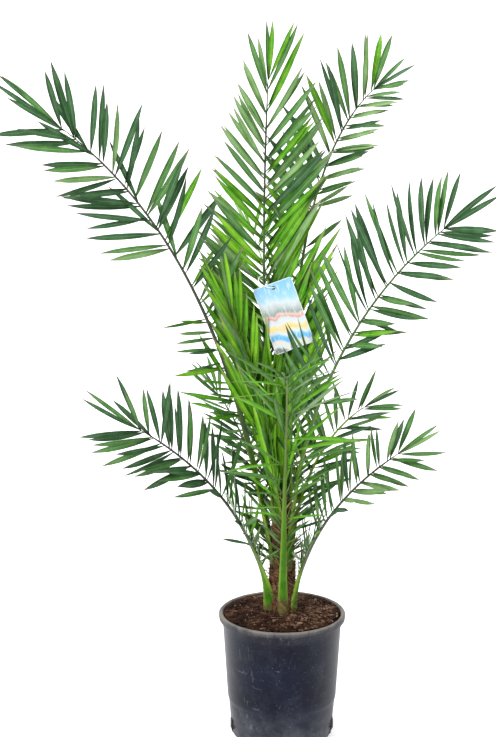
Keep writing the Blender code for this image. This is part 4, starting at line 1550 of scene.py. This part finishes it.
def lay_soil_litter(thorn):
    """Crumbs, bark chips and pale rootlets lying on the soil."""
    chance = random.Random(f"soil{SEED}")
    lumps = [crumb_blank(seed) for seed in range(CRUMB_SHAPES)]
    smallest, largest = CRUMB_SIZES
    crumbs, chips, twigs = Heap(), Heap(), Heap()
    wall = POT_TOP_RADIUS - POT_WALL - 0.004
    for _ in range(SOIL_CRUMBS):
        far = wall * math.sqrt(chance.random())
        compass = chance.uniform(0, 2 * math.pi)
        size = smallest + (largest - smallest) * chance.random() ** 3
        spot = Vector(at_compass(far, compass, soil_height(far) - size * 0.2))
        spin = Matrix.Rotation(chance.uniform(0, 2 * math.pi), 3, "Z")
        spin = Matrix.Rotation(chance.uniform(-0.6, 0.6), 3, "X") @ spin
        long = chance.uniform(1.0, 2.2)
        shape = np.array(spin) @ np.diag([size * long, size, size * chance.uniform(0.6, 1.0)])
        blank = chance.choice(lumps)
        pale_share = 0.02 + 0.30 * ramp(spot.x - 0.6 * spot.y, -0.03, 0.11)
        heap = chips if chance.random() < pale_share else crumbs
        light = heap is crumbs and chance.random() < 1.1 * pale_share
        heap.add(blank, blank.points @ shape.T + np.array(spot), [int(light)] * len(blank.faces))
    for _ in range(SOIL_TWIGS):
        far = (wall - 0.012) * math.sqrt(chance.random())
        compass = chance.uniform(0, 2 * math.pi)
        heading = chance.uniform(0, 2 * math.pi)
        root = Vector(at_compass(far, compass, soil_height(far) + 0.0006))
        way = Vector((math.cos(heading), math.sin(heading), chance.uniform(-0.05, 0.16)))
        length = chance.uniform(*TWIG_LENGTHS)
        if (root + way * length).xy.length > wall:
            continue
        bend = Vector((-math.sin(heading), math.cos(heading), 0)) * chance.uniform(-0.35, 0.35)
        radius = chance.uniform(*TWIG_RADII)
        twigs.add(thorn, bent_spike(thorn, root, way, bend, length, radius))
    return (
        crumbs.piece("soil_crumbs", [ROUGH["peat_crumb"], ROUGH["peat_crumb_light"]]),
        chips.piece("soil_chips", [ROUGH["bark_chip"]], smooth=False),
        twigs.piece("soil_twigs", [ROUGH["bark_chip"]]),
    )


# ---- pot


def pot_profile():
    """The wall's section, as radius and height: up the inside, over the lip, down the outside."""
    lip_bottom = POT_HEIGHT - POT_LIP_DEPTH
    roll_bottom = POT_HEIGHT - LIP_ROLL
    wall = POT_WALL
    inside = [
        (POT_FOOT_RADIUS - wall, wall),
        (POT_FOOT_RADIUS + 0.002 - wall, POT_CORNER + wall),
        (POT_STEP_RADIUS - POT_STEP_IN - wall, POT_STEP_HEIGHT),
        (POT_STEP_RADIUS - wall, POT_STEP_HEIGHT + 0.003),
        (POT_TOP_RADIUS - wall, lip_bottom),
        (POT_TOP_RADIUS - wall + 0.0006, roll_bottom),
    ]
    middle = (POT_LIP_RADIUS + POT_TOP_RADIUS - wall) / 2 + 0.0003
    half = (POT_LIP_RADIUS - POT_TOP_RADIUS + wall) / 2 - 0.0003
    roll = []
    for i in range(1, LIP_STEPS + 1):
        angle = math.pi * (1.0 - i / LIP_STEPS)
        roll.append((middle + half * math.cos(angle), roll_bottom + LIP_ROLL * math.sin(angle)))
    outside = [
        (POT_LIP_RADIUS - 0.0001, POT_HEIGHT - 0.0060),
        (POT_LIP_RADIUS - 0.0006, lip_bottom + 0.0012),
        (POT_LIP_RADIUS - 0.0014, lip_bottom),
        (POT_LIP_RADIUS - 0.0030, lip_bottom + 0.0004),
        (POT_TOP_RADIUS + 0.0012, lip_bottom - 0.0002),
        (POT_TOP_RADIUS, lip_bottom - 0.0030),
        (POT_STEP_RADIUS + 0.0003, POT_STEP_HEIGHT + 0.0070),
        (POT_STEP_RADIUS - 0.0001, POT_STEP_HEIGHT + 0.0045),
        (POT_STEP_RADIUS - 0.0009, POT_STEP_HEIGHT + 0.0015),
        (POT_STEP_RADIUS - POT_STEP_IN, POT_STEP_HEIGHT - 0.0020),
        (POT_STEP_RADIUS - POT_STEP_IN - 0.0003, POT_STEP_HEIGHT - 0.0050),
        (POT_FOOT_RADIUS + 0.0021, POT_CORNER + 0.001),
        (POT_FOOT_RADIUS + 0.0016, POT_CORNER * 0.6),
        (POT_FOOT_RADIUS - 0.0004, 0.0006),
        (POT_FOOT_RADIUS - 0.0014, 0.0),
    ]
    return inside + roll + outside


def build_pot():
    """A ring drawn up the inside and down the outside, with drain slots cut through its foot."""
    (radius, height), *rest = pot_profile()
    deselect()
    bpy.ops.mesh.primitive_circle_add(
        vertices=POT_SIDES, radius=radius, location=(0, 0, height), fill_type="NOTHING"
    )
    pot = made("pot_shell")
    bpy.ops.object.mode_set(mode="EDIT")
    bpy.ops.mesh.select_all(action="SELECT")
    for wider, higher in rest:
        bpy.ops.mesh.extrude_region_move(TRANSFORM_OT_translate={"value": (0, 0, higher - height)})
        bpy.ops.transform.resize(value=(wider / radius, wider / radius, 1.0))
        radius, height = wider, higher
    select_edges(pot, lambda edge: edge.is_boundary and edge.verts[0].co.z < POT_WALL / 2)
    bpy.ops.mesh.edge_face_add()
    select_edges(pot, lambda edge: edge.is_boundary)
    bpy.ops.mesh.edge_face_add()
    bpy.ops.mesh.select_all(action="SELECT")
    bpy.ops.mesh.normals_make_consistent(inside=False)
    bpy.ops.object.mode_set(mode="OBJECT")
    for i in range(DRAIN_SLOTS):
        turn = 2 * math.pi * i / DRAIN_SLOTS
        deselect()
        bpy.ops.mesh.primitive_cube_add(
            size=1.0, scale=(0.012, DRAIN_SLOT_WIDTH, DRAIN_SLOT_HEIGHT), rotation=(0, 0, turn),
            location=at_compass(POT_FOOT_RADIUS, turn, DRAIN_SLOT_HEIGHT / 2 - 0.0008),
        )
        slot = made("drain_slot")
        apply_modifier(pot, "BOOLEAN", operation="DIFFERENCE", solver="EXACT", object=slot)
        bpy.data.objects.remove(slot, do_unlink=True)
    pot.data.materials.append(PLASTIC)
    pot.data.shade_smooth()
    pot.data.set_sharp_from_angle(angle=POT_SHARP_ANGLE)
    return pot


def build_lugs():
    """Four small hollow lugs low on the pot's wall."""
    deselect()
    bpy.ops.mesh.primitive_cube_add(size=1.0, scale=LUG_SIZE, location=(LUG_PLACE[0], 0.0, LUG_PLACE[1]))
    lug = made("pot_lug")
    bpy.ops.object.mode_set(mode="EDIT")
    bpy.ops.mesh.select_all(action="SELECT")
    bpy.ops.mesh.bevel(offset=LUG_BEVEL, segments=2, affect="EDGES")
    bpy.ops.mesh.select_all(action="DESELECT")
    bm = bmesh.from_edit_mesh(lug.data)
    outer = max(bm.faces, key=lambda face: face.normal.x * face.calc_area())
    outer.select_set(True)
    bmesh.update_edit_mesh(lug.data)
    bpy.ops.mesh.inset(thickness=LUG_RIM)
    bpy.ops.mesh.extrude_region_move(TRANSFORM_OT_translate={"value": (-LUG_HOLLOW, 0, 0)})
    bpy.ops.object.mode_set(mode="OBJECT")
    blank = Blank(lug)
    heap = Heap()
    for heading in LUG_HEADINGS:
        turn = np.array(Matrix.Rotation(math.radians(heading), 3, "Z"))
        heap.add(blank, blank.points @ turn.T)
    return heap.piece("pot_lugs", [PLASTIC], smooth=False)


def build_mud():
    """Dried mud caught round the pot's lugs."""
    chance = random.Random(f"mud{SEED}")
    lumps = [crumb_blank(seed) for seed in range(MUD_SHAPES)]
    heap = Heap()
    for heading in LUG_HEADINGS:
        for _ in range(MUD_CRUMBS):
            turn = math.radians(heading + chance.gauss(0.0, 4.0))
            height = LUG_PLACE[1] + chance.gauss(-0.004, 0.008)
            if not 0.003 < height < POT_STEP_HEIGHT:
                continue
            size = chance.uniform(*MUD_SIZES)
            out = POT_FOOT_RADIUS + 0.0021 + 0.08 * height
            spot = np.array(at_compass(out, turn, height))
            spin = np.array(Matrix.Rotation(turn, 3, "Z")) @ np.diag((0.5 * size, 1.3 * size, size))
            blank = chance.choice(lumps)
            heap.add(blank, blank.points @ spin.T + spot)
    return heap.piece("pot_mud", [ROUGH["peat_crumb"]])


# ---- care card


def label_places(frond, points):
    """Middle of the ring, its two directions, and the middle of the card's hole."""
    point, along, _, _ = rib_frame(frond, points, LABEL_RING_PLACE)
    reach = LABEL_RING_REACH.normalized()
    side = (LABEL_RING_SIDE - LABEL_RING_SIDE.dot(reach) * reach).normalized()
    slant = along.cross(reach).length
    rib_room = (rib_radius(frond, LABEL_RING_PLACE) * 1.1 + 0.0003) / slant
    middle = point + reach * (LABEL_RING_RADIUS - rib_room - LABEL_RING_WIRE)
    return middle, reach, side, middle + reach * LABEL_RING_RADIUS


def build_label(hole_place):
    """A printed card with round corners and a punched hole, a little curled."""
    deselect()
    bpy.ops.mesh.primitive_plane_add(size=1.0)
    card = made("care_card")
    card.data.transform(Matrix.Diagonal((LABEL_WIDTH, LABEL_HEIGHT, 1.0, 1.0)))
    bpy.ops.object.mode_set(mode="EDIT")
    bpy.ops.mesh.select_all(action="SELECT")
    bpy.ops.mesh.bevel(offset=LABEL_CORNER, segments=5, affect="VERTICES")
    bpy.ops.object.mode_set(mode="OBJECT")
    up, across = Vector((0, 1, 0)), Vector((1, 0, 0))
    for way, size, parts in ((up, LABEL_HEIGHT, CARD_ROWS), (across, LABEL_WIDTH, CARD_COLUMNS)):
        for i in range(1, parts):
            bpy.ops.object.mode_set(mode="EDIT")
            bpy.ops.mesh.select_all(action="SELECT")
            bpy.ops.mesh.bisect(plane_co=way * (size * (i / parts - 0.5)), plane_no=way)
            bpy.ops.object.mode_set(mode="OBJECT")
    hole = Vector((0.0, LABEL_HEIGHT / 2 - LABEL_HOLE_DROP, 0.0))
    apply_modifier(card, "SOLIDIFY", thickness=LABEL_THICKNESS, offset=0.0)
    deselect()
    bpy.ops.mesh.primitive_cylinder_add(vertices=32, radius=LABEL_HOLE_RADIUS, depth=0.02, location=hole)
    punch = made("punch")
    apply_modifier(card, "BOOLEAN", operation="DIFFERENCE", solver="EXACT", object=punch)
    bpy.data.objects.remove(punch, do_unlink=True)
    mesh = card.data
    layer = mesh.uv_layers.active
    points = coordinates(mesh)
    for loop in mesh.loops:
        x, y, _ = points[loop.vertex_index]
        layer.data[loop.index].uv = (x / LABEL_WIDTH + 0.5, y / LABEL_HEIGHT + 0.5)
    down = 0.5 - points[:, 1] / LABEL_HEIGHT
    across = points[:, 0] / LABEL_WIDTH
    points[:, 2] += 0.0030 * down**2 * np.sin(across * 2.4 + 0.5)
    points[:, 2] -= 0.0010 * (1 - 4 * across**2) * down
    set_coordinates(mesh, points)
    upright = Matrix.Rotation(math.radians(90), 4, "X")
    tilt = Matrix.Rotation(math.radians(-LABEL_TILT), 4, "Y")
    pitch = Matrix.Rotation(math.radians(-LABEL_PITCH), 4, "X")
    mesh.transform(Matrix.Translation(hole_place) @ pitch @ tilt @ upright @ Matrix.Translation(-hole))
    mesh.materials.append(CARD_PRINT)
    mesh.shade_smooth()
    mesh.set_sharp_from_angle(angle=CARD_SHARP_ANGLE)
    return card


def build_ring(middle, reach, side):
    deselect()
    bpy.ops.mesh.primitive_torus_add(
        major_radius=LABEL_RING_RADIUS, minor_radius=LABEL_RING_WIRE,
        major_segments=72, minor_segments=10,
    )
    ring = made("card_ring")
    turn = Matrix((reach, side, reach.cross(side))).transposed()
    ring.data.transform(Matrix.Translation(middle) @ turn.to_4x4())
    ring.data.materials.append(CLEAR)
    ring.data.shade_smooth()
    return ring


# ---- putting it together


def grow_palm():
    paths = {frond.name: frond_path(frond) for frond in FRONDS}
    bar, blade, thorn = rib_blank(), BladeBlank(blade_blank()), thorn_blank()
    middle, reach, side, hole_place = label_places(FRONDS[0], paths["frond_top"])
    card = fit(build_label(hole_place), "label", "label_card")
    fit(build_ring(middle, reach, side), "label_ring", "label_ring")
    corners = [v.co for v in card.data.vertices]
    card_middle = sum(corners, Vector()) / len(corners)
    grown = [Obstacles()]
    grown[0].add(corners, [tuple(face.vertices) for face in card.data.polygons])
    for frond in FRONDS:
        slot = "young_frond" if frond.name in YOUNG_FRONDS else "frond"
        path = paths[frond.name]
        rib = draw_rib(frond, path, bar)
        fit(rib.piece(frond.name + "_rib", RIB_MATERIALS), slot, frond.name)
        around = Obstacles()
        for other in grown:
            around.add(other.points, other.faces)
        leaflets, taken = grow_leaflets(frond, path, blade, around, card_middle)
        grown.append(taken)
        fit(leaflets.piece(frond.name + "_leaflets", LEAF_MATERIALS), slot, frond.name)
        spines = grow_spines(frond, path, thorn)
        fit(spines.piece(frond.name + "_spines", [SPINE_STRAW]), slot, frond.name)
    fit(build_spears(blade), "young_frond", "frond_young")
    fit(build_trunk(), "bark", "trunk")
    fit(build_scales(), "bark", "trunk")
    fit(build_fibres(thorn), "bark", "trunk")
    fit(build_soil(), "soil", "soil")
    for piece in lay_soil_litter(thorn):
        fit(piece, "soil", "soil")
    fit(build_pot(), "pot_plastic", "pot")
    fit(build_lugs(), "pot_plastic", "pot")
    fit(build_mud(), "soil", "pot")


# ---- studio


def area_light(name, place, target, size, power):
    light = bpy.data.lights.new(name, "AREA")
    light.shape = "RECTANGLE"
    light.size, light.size_y = size
    light.energy = power
    lamp = bpy.data.objects.new(name, light)
    lamp.location = place
    lamp.rotation_euler = (Vector(target) - Vector(place)).to_track_quat("-Z", "Y").to_euler()
    bpy.context.scene.collection.objects.link(lamp)


def build_backdrop():
    """A pale sheet that curves up behind the plant."""
    deselect()
    bpy.ops.mesh.primitive_plane_add(size=1.0)
    sheet = made("backdrop")
    shift = Matrix.Translation((0, BACKDROP_SHIFT, 0))
    sheet.data.transform(Matrix.Diagonal((*BACKDROP_SIZE, 1, 1)) @ shift)
    far = max(v.co.y for v in sheet.data.vertices) - 0.001
    bpy.ops.object.mode_set(mode="EDIT")
    select_edges(sheet, lambda edge: all(v.co.y > far for v in edge.verts))
    bpy.ops.mesh.extrude_region_move(TRANSFORM_OT_translate={"value": (0, 0, BACKDROP_RISE)})
    select_edges(sheet, lambda edge: all(v.co.y > far and v.co.z < 0.001 for v in edge.verts))
    bpy.ops.mesh.bevel(offset=BACKDROP_BEND, segments=32, affect="EDGES")
    bpy.ops.object.mode_set(mode="OBJECT")
    sheet.data.shade_smooth()
    finish = plain_finish("pale_backdrop", (0.86, 0.86, 0.86), 0.9, 0.1)
    finish.shader.inputs["Emission Color"].default_value = (1, 1, 1, 1)
    finish.shader.inputs["Emission Strength"].default_value = BACKDROP_GLOW
    sheet.data.materials.append(finish.material)
    sheet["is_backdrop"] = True


def build_world():
    """A cool white sky, brighter where the camera sees it than where it lights the plant."""
    world = bpy.data.worlds.new("studio")
    world.use_nodes = True
    tree = world.node_tree
    sky = tree.nodes["Background"].inputs
    sky["Color"].default_value = (0.95, 0.97, 1.0, 1)
    seen = tree.nodes.new("ShaderNodeLightPath").outputs["Is Camera Ray"]
    tree.links.new(add_range(tree, seen, 0.0, 1.0, SKY_LIGHTS, SKY_SEEN), sky["Strength"])
    bpy.context.scene.world = world


def set_camera():
    camera = bpy.data.cameras.new("camera")
    camera.sensor_fit = "VERTICAL"
    camera.sensor_height = 24.0
    camera.lens = CAMERA_LENS
    holder = bpy.data.objects.new("camera", camera)
    holder.location = CAMERA_PLACE
    holder.rotation_euler = (math.radians(90 - CAMERA_DIP), 0, 0)
    bpy.context.scene.collection.objects.link(holder)
    bpy.context.scene.camera = holder


grow_palm()
build_backdrop()
build_world()
for row in LIGHTS:
    area_light(*row)
set_camera()
bpy.context.scene.view_settings.view_transform = "Standard"

visual_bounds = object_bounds()
boxes = {"cad": cad_bounds, "visual": visual_bounds}
{k: [[float(c) for c in corner] for corner in box] for k, box in boxes.items()}
